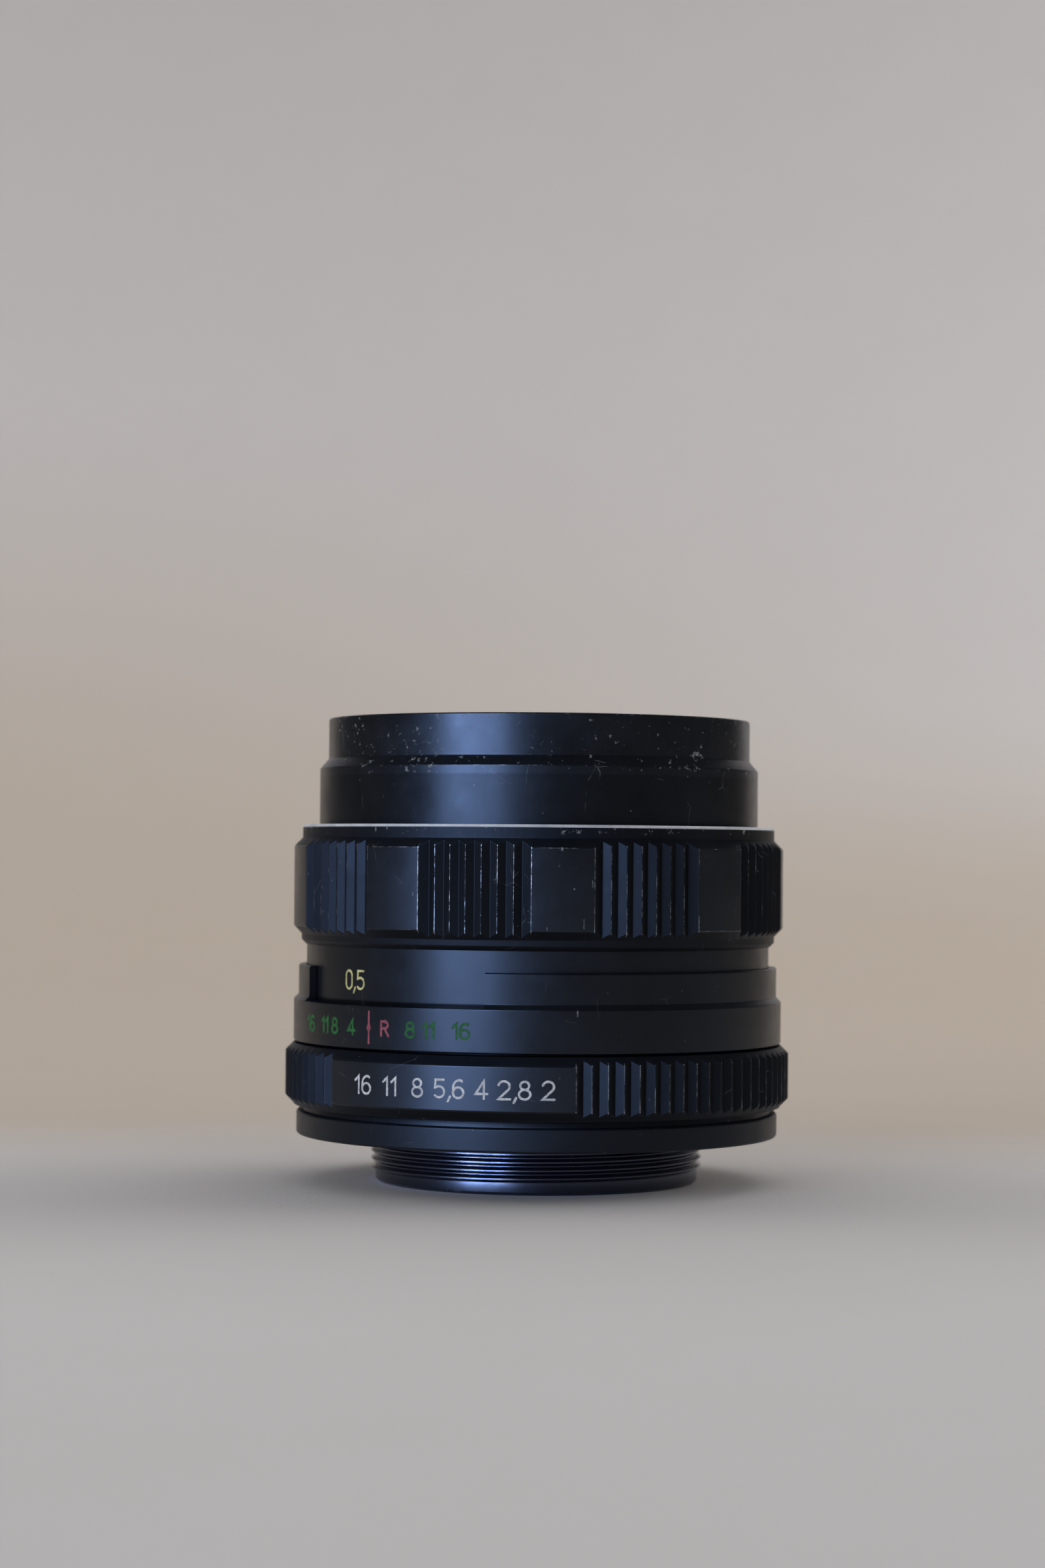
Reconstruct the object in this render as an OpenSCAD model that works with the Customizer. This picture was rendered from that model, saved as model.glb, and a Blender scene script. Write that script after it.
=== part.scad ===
// Manual-focus prime lens with a screw mount, standing on its mount with the front glass up.
// The origin is the centre of the mount flange plane and +Z runs along the optical axis to the front.
// An azimuth is an angle about +Z, counted from -Y towards +X, in degrees.
// The lens is drawn at its closest focus and stopped down to f/16.

/* [Mount] */
// Crest radius of the M42 x 1 mount thread
mount_thread_r = 20.95; // [20.8:0.05:21]
// Length of the threaded tube behind the flange plane
mount_thread_h = 6; // [5.8:0.1:6.4]
// Outer radius of the rear ring
rear_ring_r = 30.5; // [30.2:0.1:30.8]

/* [Rings] */
// Radius of the aperture ring at its number panel
aperture_ring_r = 32.1; // [31.9:0.1:32.4]
// Outer radius of the depth-of-field scale ring
scale_ring_r = 30.95; // [30.8:0.05:31.2]
// Outer radius of the focusing grip at its smooth panels
focus_grip_r = 31.13; // [31:0.01:31.3]
// Number of smooth panels round the focusing grip
focus_panels = 9; // [6:1:9]
// Radius of the distance-scale sleeve
distance_scale_r = 29.35; // [29.3:0.01:29.37]

/* [Front barrel] */
// Outer radius of the barrel's lower band
barrel_r = 27.88; // [27.7:0.01:27.95]
// Outer radius of the rim round the filter thread
front_rim_r = 26.8; // [26.7:0.05:27]
// Height of the front rim above the flange plane at closest focus
front_rim_z = 52.4; // [52.2:0.1:53]

/* [Motion] */
// Azimuth of the index line
index_az = -41; // [-60:1:-20]
// Travel of the lens block from closest focus to infinity
focus_travel = 9; // [7:0.5:9]
// Turn of the focusing ring over that travel
focus_turn = 270; // [180:10:270]
// Turn of the aperture ring from f/16 to f/2
aperture_turn = 43.2; // [40:0.2:44]

/* [Diaphragm] */
// Number of blades
blade_count = 8; // [8:1:8]
// Radius of the opening at f/2
open_r = 11.75; // [11.6:0.05:11.8]
// Radius of the opening at f/16
closed_r = 1.45; // [1.3:0.05:2]

/* [Hidden] */
$fn = 120;

slack = 0.05;            // running clearance between parts that slide or turn
fit = 0.01;              // gap between parts that are screwed or pressed together
cut = 1;                 // how far a cutter runs past the face it cuts

// Heights of the fixed parts above the flange plane
flange_h = 1.5;
rear_ring_top = 2.95;
seat_z = 3.65;           // top of the rear ring, where the base body sits
base_plate_top = 5.6;
base_wall_top = 11.65;
floor_z = 12.7;          // floor of the pocket that the lens helicoid sinks into
hub_top = 18.4;
hub_neck_top = 19.5;
guide_top = 30;

// Radii of the fixed parts
mount_bore_r = 19;
thread_relief_r = 21.3;  // groove between the flange face and the thread
mount_flange_r = 26;
inner_clear_r = 22;      // opening in the rear ring and the base plate
guide_in_r = 23.4;
guide_out_r = 24.9;
pocket_r = 26.75;        // inside of the base wall
bearing_r = 27.95;       // the aperture ring turns on this
hub_in_r = 27.2;
hub_r = 28.4;            // the distance scale turns on this
hub_neck_r = 27.9;
base_lip_r = 29;

// Aperture ring
aperture_bottom = 3.75;
aperture_top = 11.45;
aperture_edge_r = 31;
aperture_valley_r = 31.37;
aperture_first_valley = 9.8;
aperture_grooves = 84;
aperture_pitch = 3.585;  // angle from one groove to the next
number_panel = [-51.1, 8.1];
drive_screw_z = 7.3;
drive_screw_r = 0.8;
drive_screw_az = [140, 220];
transfer_low = 6;
transfer_high = 8.6;
click_z = 10.3;
click_ball_r = 0.75;
click_az = 100;
stops = 7;               // f/2 to f/16

// Depth-of-field ring
scale_low = 11.7;
scale_high = 16.95;
band_low = 17.55;
band_top = 21.3;
band_r = 30.35;
scale_seat_top = 12.7;
window_from = index_az - 28.3;
window_to = index_az + 28.8;
scale_screw_az = [100, 200, 260];

// Focusing ring
grip_low = 23.9;
grip_high = 38.95;
grip_neck_r = 30;
grip_bore_r = 28.05;
grip_valley_r = 30.3;
grip_pitch = 40 / 11;    // angle from one groove to the next
grip_grooves = 7;        // grooves between two panels
grip_climb = 2.1;        // angle from the last groove to the panel
grip_phase = 25.2;       // azimuth of the middle of one set of grooves
sleeve_low = 12.8;
sleeve_high = 25.4;
sleeve_in_r = hub_r + slack;
sleeve_wide_r = 28.95;
stop_pin_r = 0.28;
stop_pin_az = 120;
helicoid_r = 27;         // crest radius of the lens helicoid
helicoid_low = 20;
helicoid_high = 27;
helicoid_neck_top = 30.5;
helicoid_pitch = 1.5;

// Lens block, drawn at closest focus
barrel_low = 36.4;
barrel_step_low = 46.05;
barrel_step_high = 47.3;
filter_minor_r = 25.6;
filter_major_r = 26.05;
filter_pitch = 0.75;
filter_threads = 5;
block_low = 22;          // lower end of the lens helicoid
block_flange_low = 39.6;
block_flange_high = 41.5;
key_az = [90, 270];
key_w = 4;
key_low = 20;
key_high = 26;
housing_r = 21.3;
housing_low = 15.2;
iris_r = 20.3;           // room for the diaphragm
iris_low = 20.9;
iris_high = 24.9;
cell_r = 18.98;
rear_cell_r = 15.9;
rear_cell_low = 1.3;

// Diaphragm
pivot_r = 19;
pivot_pin_r = 0.45;
blade_out_r = 18;
blade_t = 0.1;
blade_step = 0.15;
blade_top = 23.6;
blade_span = 100;
drive_offset = 2;        // from the pivot to the blade's drive pin
drive_pin_r = 0.33;
cam_low = 21.2;
cam_high = 22.3;
cam_slot_half = 0.38;
close_angle = 2 * asin((open_r - closed_r) / (2 * pivot_r));
cam_pin_az = 169;
cam_pin_r = 0.5;
cam_pin_z = (cam_low + cam_high) / 2;
fork_in_r = 21.6;
fork_out_r = 23.1;
fork_w = 4.6;

// Stop-down pin
pin_az = index_az + 180;
pin_at_r = 17.6;
pin_r = 0.7;
pin_tip = -5.8;
pin_top = 3.9;
pin_travel = 2;

black = [0.05, 0.055, 0.065];
brass = [0.72, 0.58, 0.3];
steel = [0.6, 0.6, 0.62];
bare = [0.75, 0.75, 0.77];
glass = [0.75, 0.82, 0.9, 0.4];

// ---- Shared shapes ----

module at(az, r, z = 0) {
    rotate([0, 0, az]) translate([0, -r, z]) children();
}

module ring(r_in, r_out, low, high) {
    difference() {
        translate([0, 0, low]) cylinder(r = r_out, h = high - low);
        translate([0, 0, low - cut]) cylinder(r = r_in, h = high - low + 2 * cut);
    }
}

module revolve(points) {
    rotate_extrude() polygon(points);
}

// A band of a ring between two azimuths
module arc_band(r_in, r_out, low, high, from, to) {
    rotate([0, 0, from - 90])
        rotate_extrude(angle = to - from)
            translate([r_in, low]) square([r_out - r_in, high - low]);
}

// A rod that points away from the axis
module radial_rod(az, r_from, r_to, z, r) {
    at(az, r_from, z) rotate([90, 0, 0]) cylinder(r = r, h = r_to - r_from, $fn = 32);
}

// A grub screw with a screwdriver slot in its outer end
module grub_screw(az, r_from, r_to, z, r) {
    difference() {
        radial_rod(az, r_from, r_to, z, r);
        at(az, r_to, z) cube([r * 3, r, r * 0.4], center = true);
    }
}

// A countersunk screw that points up, with its head at the bottom
module countersunk_screw(head_z, tip_z, r, head_r) {
    difference() {
        union() {
            translate([0, 0, head_z]) cylinder(r = r, h = tip_z - head_z, $fn = 32);
            translate([0, 0, head_z]) cylinder(r1 = head_r, r2 = r, h = head_r - r, $fn = 32);
        }
        translate([0, 0, head_z]) cube([head_r * 3, 0.35, 0.5], center = true);
    }
}

module countersunk_hole(head_z, r, head_r, tip_z) {
    translate([0, 0, head_z - cut]) cylinder(r = r, h = tip_z - head_z + cut, $fn = 32);
    translate([0, 0, head_z]) cylinder(r1 = head_r, r2 = r, h = head_r - r, $fn = 32);
    translate([0, 0, head_z - cut]) cylinder(r = head_r, h = cut, $fn = 32);
}

function polar(az, r) = [r * sin(az), -r * cos(az)];

// Radius of the crest between two grooves whose flanks lean 60 degrees from the radius
function crest_r(valley_r, pitch) =
    let (half = pitch / 2, t = valley_r * tan(half) / (sin(60) - cos(60) * tan(half)))
    (valley_r + t * cos(60)) / cos(half);

// Corners of a run of grooves: valley, crest, valley and so on, ending in a valley
function groove_points(first, pitch, count, valley_r) = [
    for (i = [0 : 2 * count - 2])
        polar(first + i * pitch / 2, i % 2 == 0 ? valley_r : crest_r(valley_r, pitch))
];

// Corners of a smooth panel, which lie outside the ring. Its end flanks lean 2.4 degrees for each mm
// of height, and cut the ring's surface at the two azimuths.
function panel_points(from, to, r, over = 0.3) = [
    for (i = [0 : 8])
        let (f = from + 2.4 * over, t = to - 2.4 * over)
            polar(f + i * (t - f) / 8, i % 8 == 0 ? r + over : r + 1.5)
];

// Points of a run of thread ridges, listed from the first ridge in the direction of step
function ridge_points(root_r, crest_r, first_z, step, count, flat = 0.1, half = 0.42) = [
    for (i = [0 : count - 1])
        for (p = [[root_r, -half], [crest_r, -flat], [crest_r, flat], [root_r, half]])
            [p[0], first_z + i * step + sign(step) * p[1]]
];

// Shallow grooves round a helicoid; the lands keep the sliding fit
module helicoid_grooves(r_from, r_to, low, high) {
    groove_w = helicoid_pitch / 3;
    for (z = [low + groove_w : helicoid_pitch : high - groove_w])
        ring(r_from, r_to, z, z + groove_w);
}

// A coil spring along +Z, from z = 0 to z = h
module coil(mean_r, wire_r, h, turns) {
    steps = 14;
    sides = 6;
    rise = h - 2 * wire_r;
    count = turns * steps;
    points = [
        for (i = [0 : count])
            for (j = [0 : sides - 1])
                let (a = i * 360 / steps, b = j * 360 / sides, r = mean_r + wire_r * cos(b))
                    [r * cos(a), r * sin(a), wire_r + rise * i / count + wire_r * sin(b)]
    ];
    side_faces = [
        for (i = [0 : count - 1])
            for (j = [0 : sides - 1])
                let (k = (j + 1) % sides)
                    [i * sides + j, i * sides + k, (i + 1) * sides + k, (i + 1) * sides + j]
    ];
    start_cap = [[for (j = [sides - 1 : -1 : 0]) j]];
    end_cap = [[for (j = [0 : sides - 1]) count * sides + j]];
    polyhedron(points, concat([for (f = side_faces) [f[3], f[2], f[1], f[0]]],
        [for (f = start_cap) [for (i = [sides - 1 : -1 : 0]) f[i]]],
        [for (f = end_cap) [for (i = [sides - 1 : -1 : 0]) f[i]]]));
}

// ---- Fixed body ----

mount_screw_az = [0, 120, 240];
mount_screw_at_r = 23.9;
mount_screw_r = 0.8;
mount_screw_head_r = 1.5;

module mount_ring() {
    root_r = mount_thread_r - 0.55;
    thread = ridge_points(root_r, mount_thread_r, -0.55, -1, 5);
    color(black) difference() {
        revolve(concat(
            [[mount_bore_r, flange_h], [mount_flange_r - fit, flange_h], [mount_flange_r - fit, 0],
             [thread_relief_r, 0], [thread_relief_r, 0.3], [root_r, 0.3]],
            thread,
            [[root_r, -mount_thread_h + 0.3], [root_r - 0.3, -mount_thread_h],
             [mount_bore_r + 0.3, -mount_thread_h], [mount_bore_r, -mount_thread_h + 0.3]]));
        for (az = mount_screw_az)
            at(az, mount_screw_at_r)
                countersunk_hole(0.05, mount_screw_r, mount_screw_head_r, flange_h + cut);
        at(pin_az, bracket_screw_at_r, flange_h - bracket_screw_depth) cylinder(r = 0.5, h = 3, $fn = 32);
        for (az = baffle_screw_az)
            radial_rod(az, mount_bore_r - cut, mount_bore_r + 0.8, baffle_z, 0.4);
    }
}

module mount_screws() {
    color(steel) for (az = mount_screw_az)
        at(az, mount_screw_at_r)
            countersunk_screw(0.05, base_plate_top - 0.6, mount_screw_r - fit, mount_screw_head_r - fit);
}

switch_from = 174;
switch_turn = 12;
switch_half = 3;
switch_low = 1;
switch_high = 2.4;

module rear_ring() {
    edge = 0.2;
    color(black) difference() {
        revolve([[mount_flange_r, 0], [rear_ring_r - edge, 0], [rear_ring_r, edge],
            [rear_ring_r, rear_ring_top - edge], [rear_ring_r - edge, rear_ring_top],
            [29.6, rear_ring_top], [29.6, seat_z], [inner_clear_r, seat_z],
            [inner_clear_r, flange_h + fit], [mount_flange_r, flange_h + fit]]);
        for (az = mount_screw_az)
            at(az, mount_screw_at_r, 0) cylinder(r = mount_screw_r, h = seat_z + cut, $fn = 32);
        // the switch plate turns in a pocket, and its knob comes out through a slot
        arc_band(27.1, 29.3, switch_low - slack, seat_z + cut,
            switch_from - 2 * switch_half - 0.5, switch_from + switch_turn + 2 * switch_half + 0.5);
        arc_band(29, rear_ring_r + cut, switch_low + 0.3 - slack, switch_high - 0.3 + slack,
            switch_from - switch_half - 0.5, switch_from + switch_turn + switch_half + 0.5);
    }
}

module mode_switch() {
    color(black) {
        arc_band(27.2, 29.2, switch_low, switch_high,
            switch_from - 2 * switch_half, switch_from + 2 * switch_half);
        arc_band(29.1, rear_ring_r + 1.1, switch_low + 0.3, switch_high - 0.3,
            switch_from - switch_half, switch_from + switch_half);
    }
}

module base_body() {
    color(black) difference() {
        revolve([[inner_clear_r, seat_z], [bearing_r, seat_z], [bearing_r, base_wall_top],
            [base_lip_r, base_wall_top], [base_lip_r, floor_z], [hub_r, floor_z],
            [hub_r, hub_top], [hub_neck_r, hub_top], [hub_neck_r, hub_neck_top],
            [hub_in_r, hub_neck_top], [hub_in_r, floor_z], [pocket_r, floor_z],
            [pocket_r, base_plate_top], [inner_clear_r, base_plate_top]]);
        for (az = mount_screw_az)
            at(az, mount_screw_at_r, seat_z - cut)
                cylinder(r = mount_screw_r, h = base_plate_top - seat_z + 0.5, $fn = 32);
        for (az = drive_screw_az)
            arc_band(pocket_r - cut, bearing_r + cut, drive_screw_z - drive_screw_r - slack,
                drive_screw_z + drive_screw_r + slack, az - aperture_turn - 2.2, az + 2.2);
        for (az = tube_screw_az)
            radial_rod(az, pocket_r - cut, base_lip_r + cut, tube_screw_z, tube_screw_r + fit);
        for (az = scale_screw_az)
            radial_rod(az, base_lip_r - 0.6, base_lip_r + cut, scale_screw_z, scale_screw_r + fit);
        radial_rod(click_az, pocket_r - cut, bearing_r + cut, click_z, click_ball_r + fit);
        at(stop_pin_az, stop_pin_at_r, floor_z - 0.8) cylinder(r = stop_pin_r, h = 3, $fn = 32);
    }
}

tube_screw_az = [60, 180, 300];
tube_screw_z = 12.15;
tube_screw_r = 0.4;
scale_screw_z = 12.3;
scale_screw_r = 0.35;

module guide_tube_screws() {
    color(steel) for (az = tube_screw_az)
        grub_screw(az, pocket_r - 0.9, base_lip_r - 0.1, tube_screw_z, tube_screw_r);
}

module scale_ring() {
    edge = 0.15;
    color(black) difference() {
        revolve([[base_lip_r + fit, scale_low], [scale_ring_r - edge, scale_low],
            [scale_ring_r, scale_low + edge], [scale_ring_r, scale_high],
            [band_r, band_low], [band_r, band_top - edge], [band_r - edge, band_top],
            [distance_scale_r + 0.1, band_top], [distance_scale_r + 0.1, scale_seat_top],
            [base_lip_r + fit, scale_seat_top]]);
        arc_band(distance_scale_r - cut, scale_ring_r + cut, scale_high + 0.05, band_top + cut,
            window_from, window_to);
        for (az = scale_screw_az)
            radial_rod(az, base_lip_r - cut, scale_ring_r + cut, scale_screw_z, scale_screw_r + fit);
    }
}

module scale_ring_screws() {
    color(steel) for (az = scale_screw_az)
        grub_screw(az, base_lip_r - 0.5, scale_ring_r - 0.25, scale_screw_z, scale_screw_r);
}

module guide_tube() {
    flange_low = 8.9;
    color(bare) difference() {
        revolve([[guide_in_r, base_plate_top + slack], [guide_out_r, base_plate_top + slack],
            [guide_out_r, flange_low], [pocket_r - fit, flange_low], [pocket_r - fit, floor_z],
            [guide_out_r, floor_z], [guide_out_r, guide_top], [guide_in_r, guide_top]]);
        // the arm of the drive fork swings in this slot
        arc_band(guide_in_r - cut, guide_out_r + cut, transfer_low - slack, transfer_high + slack,
            cam_pin_az - aperture_turn - 7, cam_pin_az + 7);
        for (az = tube_screw_az)
            radial_rod(az, pocket_r - 1, pocket_r + cut, tube_screw_z, tube_screw_r + fit);
        for (az = key_az, z = key_screw_z)
            radial_rod(az, guide_in_r - cut, guide_out_r + cut, z, key_screw_r + fit);
        radial_rod(click_az, click_hole_r, pocket_r + cut, click_z, click_ball_r + fit);
    }
}

key_screw_z = [21.5, 24.5];
key_screw_r = 0.5;
key_out_r = 26.85;

module guide_keys() {
    color(brass) for (az = key_az)
        difference() {
            at(az, 0, key_low) translate([-key_w / 2, -key_out_r, 0])
                cube([key_w, key_out_r - guide_out_r + 1, key_high - key_low]);
            translate([0, 0, key_low - cut])
                cylinder(r = guide_out_r + fit, h = key_high - key_low + 2 * cut);
            for (z = key_screw_z) {
                radial_rod(az, guide_out_r - cut, key_out_r + cut, z, key_screw_r + fit);
                radial_rod(az, key_out_r - 0.7, key_out_r + cut, z, 0.95 + fit);
            }
        }
}

module guide_key_screws() {
    color(steel) for (az = key_az, z = key_screw_z)
        difference() {
            union() {
                radial_rod(az, guide_in_r + 0.2, key_out_r - 0.5, z, key_screw_r);
                radial_rod(az, key_out_r - 0.69, key_out_r - 0.1, z, 0.95);
            }
            at(az, key_out_r - 0.1, z) cube([3, 0.5, 0.25], center = true);
        }
}

module focus_retaining_ring() {
    color(brass) difference() {
        ring(hub_neck_r + fit, sleeve_wide_r - slack, hub_top + fit, hub_neck_top - 0.05);
        for (az = [0, 180])
            at(az, hub_neck_r + 0.5, hub_neck_top) cube([1.2, 2, 1], center = true);
    }
}

stop_pin_at_r = 28.7;

module focus_stop_pin() {
    color(steel) at(stop_pin_az, stop_pin_at_r, floor_z - 0.8)
        cylinder(r = stop_pin_r - fit, h = 2.1, $fn = 32);
}

click_hole_r = 25.4;

module click_ball() {
    color(steel) at(click_az, bearing_r - click_ball_r, click_z) sphere(r = click_ball_r - fit, $fn = 32);
}

module click_spring() {
    color(steel) at(click_az, click_hole_r + 0.02, click_z) rotate([90, 0, 0])
        coil(0.5, 0.11, bearing_r - 2 * click_ball_r - click_hole_r - 0.02, 4);
}

// The baffle closes the space between the rear cell and the mount, and guides the stop-down pin
baffle_low = -1.6;
baffle_high = -0.8;
baffle_z = -1.2;
baffle_screw_az = [19, 259];
baffle_bore_r = rear_cell_r + 0.3;

module rear_baffle() {
    color(black) difference() {
        ring(baffle_bore_r, mount_bore_r - fit, baffle_low, baffle_high);
        at(pin_az, pin_at_r, baffle_low - cut) cylinder(r = pin_r + slack, h = 4, $fn = 32);
        for (az = baffle_screw_az)
            radial_rod(az, mount_bore_r - 1.1, mount_bore_r + cut, baffle_z, 0.3);
    }
}

module baffle_screws() {
    color(steel) for (az = baffle_screw_az)
        radial_rod(az, mount_bore_r - 1, mount_bore_r + 0.7, baffle_z, 0.29);
}

bracket_screw_at_r = 20.5;
bracket_screw_depth = 1;
bracket_low = 3.1;
bracket_high = 3.7;
bracket_w = 3.4;

module pin_bracket() {
    foot_h = 0.5;
    color(brass) difference() {
        union() {
            // foot on the mount flange, riser, and arm over the pin
            at(pin_az, 0, flange_h + fit) translate([-bracket_w / 2, -21.7, 0])
                cube([bracket_w, 2.4, foot_h]);
            at(pin_az, 0, flange_h + fit) translate([-bracket_w / 2, -19.6, 0])
                cube([bracket_w, 0.5, bracket_high - flange_h - fit]);
            at(pin_az, 0, bracket_low) translate([-bracket_w / 2, -19.6, 0])
                cube([bracket_w, 3, bracket_high - bracket_low]);
        }
        at(pin_az, pin_at_r, bracket_low - cut) cylinder(r = pin_r + slack, h = 3, $fn = 32);
        at(pin_az, bracket_screw_at_r, 0) cylinder(r = 0.55, h = 3, $fn = 32);
    }
}

module pin_bracket_screw() {
    foot_top = flange_h + 0.52;
    color(steel) difference() {
        at(pin_az, bracket_screw_at_r, flange_h - bracket_screw_depth + 0.05) {
            cylinder(r = 0.5 - fit, h = bracket_screw_depth + 0.5, $fn = 32);
            translate([0, 0, foot_top - flange_h + bracket_screw_depth - 0.05])
                cylinder(r = 0.8, h = 0.45, $fn = 32);
        }
        at(pin_az, bracket_screw_at_r, foot_top + 0.45) cube([3, 0.25, 0.3], center = true);
    }
}

collar_low = -0.75;
collar_high = -0.25;

module pin_spring() {
    color(steel) at(pin_az, pin_at_r, collar_high + 0.02)
        coil(0.95, 0.12, bracket_low - collar_high - 0.04, 5);
}

module stop_down_pin() {
    color(steel) at(pin_az, pin_at_r, 0) {
        translate([0, 0, pin_tip + 0.3]) cylinder(r = pin_r, h = pin_top - pin_tip - 0.3, $fn = 32);
        translate([0, 0, pin_tip]) cylinder(r1 = pin_r - 0.25, r2 = pin_r, h = 0.3, $fn = 32);
        translate([0, 0, collar_low]) cylinder(r = 1.1, h = collar_high - collar_low, $fn = 32);
    }
}

// ---- Focusing ring ----

module focus_grip() {
    panel_step = 360 / focus_panels;
    run = (grip_grooves - 1) * grip_pitch;
    color(black) intersection() {
        revolve([[distance_scale_r + 0.02, grip_low], [29.5, grip_low], [30.05, grip_low + 0.55],
            [30.05, 25.2], [focus_grip_r, 26.28], [focus_grip_r, 36.17], [grip_neck_r, 37.3],
            [grip_neck_r, grip_high - 0.1], [grip_neck_r - 0.1, grip_high], [29.3, grip_high],
            [29.3, helicoid_high + 1], [28.62, helicoid_high + 1], [28.62, helicoid_high + fit],
            [sleeve_wide_r + fit, helicoid_high + fit], [sleeve_wide_r + fit, sleeve_high + 0.1],
            [distance_scale_r + 0.02, sleeve_high + 0.1]]);
        translate([0, 0, grip_low - cut]) linear_extrude(grip_high - grip_low + 2 * cut)
            polygon([
                for (k = [0 : focus_panels - 1])
                    let (mid = grip_phase + k * panel_step)
                        each concat(
                            groove_points(mid - run / 2, grip_pitch, grip_grooves, grip_valley_r),
                            panel_points(mid + run / 2 + grip_climb, mid + panel_step - run / 2 - grip_climb,
                                focus_grip_r))
            ]);
    }
}

module distance_scale() {
    pin_half = stop_pin_r / stop_pin_at_r * 180 / PI + 0.3;
    color(black) difference() {
        revolve([[sleeve_in_r, sleeve_low], [distance_scale_r, sleeve_low],
            [distance_scale_r, sleeve_high], [sleeve_wide_r + fit, sleeve_high],
            [sleeve_wide_r + fit, hub_top - 0.1], [sleeve_in_r, hub_top - 0.1]]);
        // the fixed stop pin runs in this notch over the whole turn
        arc_band(sleeve_in_r - cut, distance_scale_r + cut, sleeve_low - cut, floor_z + 1.5,
            stop_pin_az - focus_turn - pin_half, stop_pin_az + pin_half);
    }
}

module focus_helicoid() {
    color(brass) difference() {
        revolve([[helicoid_r + slack, helicoid_low], [sleeve_wide_r, helicoid_low],
            [sleeve_wide_r, helicoid_high], [28.6, helicoid_high], [28.6, helicoid_neck_top],
            [grip_bore_r, helicoid_neck_top], [grip_bore_r, helicoid_high],
            [helicoid_r + slack, helicoid_high]]);
        helicoid_grooves(helicoid_r - cut, helicoid_r + 0.45, helicoid_low, helicoid_high);
    }
}

module front_lock_ring() {
    top = grip_high - 0.2;
    color(black) revolve([[28.61, helicoid_high + 1 + fit], [29.28, helicoid_high + 1 + fit],
        [29.28, top], [grip_bore_r + 0.2, top], [grip_bore_r, top - 0.2],
        [grip_bore_r, helicoid_neck_top + 0.05], [28.61, helicoid_neck_top + 0.05]]);
}

// ---- Aperture ring and its drive ----

module aperture_ring() {
    bevel = aperture_ring_r - aperture_edge_r;
    color(black) difference() {
        intersection() {
            revolve([[bearing_r + slack, aperture_bottom], [aperture_edge_r - 0.1, aperture_bottom],
                [aperture_edge_r, aperture_bottom + 0.2],
                [aperture_ring_r, aperture_bottom + 0.2 + bevel],
                [aperture_ring_r, aperture_top - bevel - 0.05], [aperture_edge_r, aperture_top - 0.05],
                [aperture_edge_r - 0.05, aperture_top], [bearing_r + slack, aperture_top]]);
            translate([0, 0, aperture_bottom - cut])
                linear_extrude(aperture_top - aperture_bottom + 2 * cut) polygon(concat(
                    groove_points(aperture_first_valley, aperture_pitch, aperture_grooves,
                        aperture_valley_r),
                    panel_points(number_panel[0] + 360, number_panel[1] + 360, aperture_ring_r)));
        }
        for (i = [0 : stops - 1])
            at(click_az + i * aperture_turn / (stops - 1), bearing_r, click_z - 0.6)
                cylinder(r = 0.4, h = 1.2, $fn = 32);
        for (az = drive_screw_az) {
            radial_rod(az, bearing_r - cut, aperture_ring_r + cut, drive_screw_z, drive_screw_r + fit);
            radial_rod(az, aperture_ring_r - 1.7, aperture_ring_r + cut, drive_screw_z, 1.3 + fit);
        }
    }
}

module aperture_drive_screws() {
    head_in = aperture_ring_r - 1.69;
    head_out = aperture_valley_r - 0.1;
    color(steel) for (az = drive_screw_az)
        difference() {
            union() {
                radial_rod(az, guide_out_r + 0.7, head_in + 0.2, drive_screw_z, drive_screw_r);
                radial_rod(az, head_in, head_out, drive_screw_z, 1.3);
            }
            at(az, head_out, drive_screw_z) cube([3, 0.7, 0.35], center = true);
        }
}

module transfer_ring() {
    color(brass) difference() {
        ring(guide_out_r + slack, pocket_r - slack, transfer_low, transfer_high);
        for (az = drive_screw_az)
            radial_rod(az, guide_out_r + 0.65, pocket_r + cut, drive_screw_z, drive_screw_r + fit);
        at(cam_pin_az, 0, transfer_low + 0.3) translate([-1.5, -pocket_r, 0])
            cube([3, 3, transfer_high - transfer_low - 0.6]);
    }
}

fork_slot_low = cam_pin_z - focus_travel - cam_pin_r - 0.4;
fork_slot_high = cam_pin_z + cam_pin_r + 0.4;

// A plate that stands beside the lens block, with a slot along the axis for the cam ring's pin,
// and an arm that reaches out through the guide tube into the transfer ring
module drive_fork() {
    color(steel) difference() {
        union() {
            at(cam_pin_az, 0, transfer_low + 0.05) translate([-fork_w / 2, -fork_out_r, 0])
                cube([fork_w, fork_out_r - fork_in_r, fork_slot_high + 1 - transfer_low - 0.05]);
            at(cam_pin_az, 0, transfer_low + 0.31) translate([-1.49, -pocket_r + 0.3, 0])
                cube([2.98, pocket_r - 0.3 - fork_out_r + 0.5, transfer_high - transfer_low - 0.62]);
        }
        at(cam_pin_az, 0, fork_slot_low) translate([-cam_pin_r - slack, -fork_out_r - cut, 0])
            cube([2 * (cam_pin_r + slack), 4, fork_slot_high - fork_slot_low]);
    }
}

// ---- Lens block ----

module front_barrel() {
    first_z = front_rim_z - 0.55;
    thread = ridge_points(filter_major_r, filter_minor_r, first_z, -filter_pitch, filter_threads, 0.08, 0.32);
    color(black) revolve(concat(
        [[filter_major_r + 0.15, front_rim_z]],
        thread,
        [[filter_major_r, 48.4], [25.2, 48.4], [25.2, 44.02], [26, 44.02], [26, barrel_low],
         [barrel_r - 0.1, barrel_low], [barrel_r, barrel_low + 0.1], [barrel_r, barrel_step_low],
         [front_rim_r, barrel_step_high], [front_rim_r, front_rim_z - 0.15],
         [front_rim_r - 0.15, front_rim_z]]));
}

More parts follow.
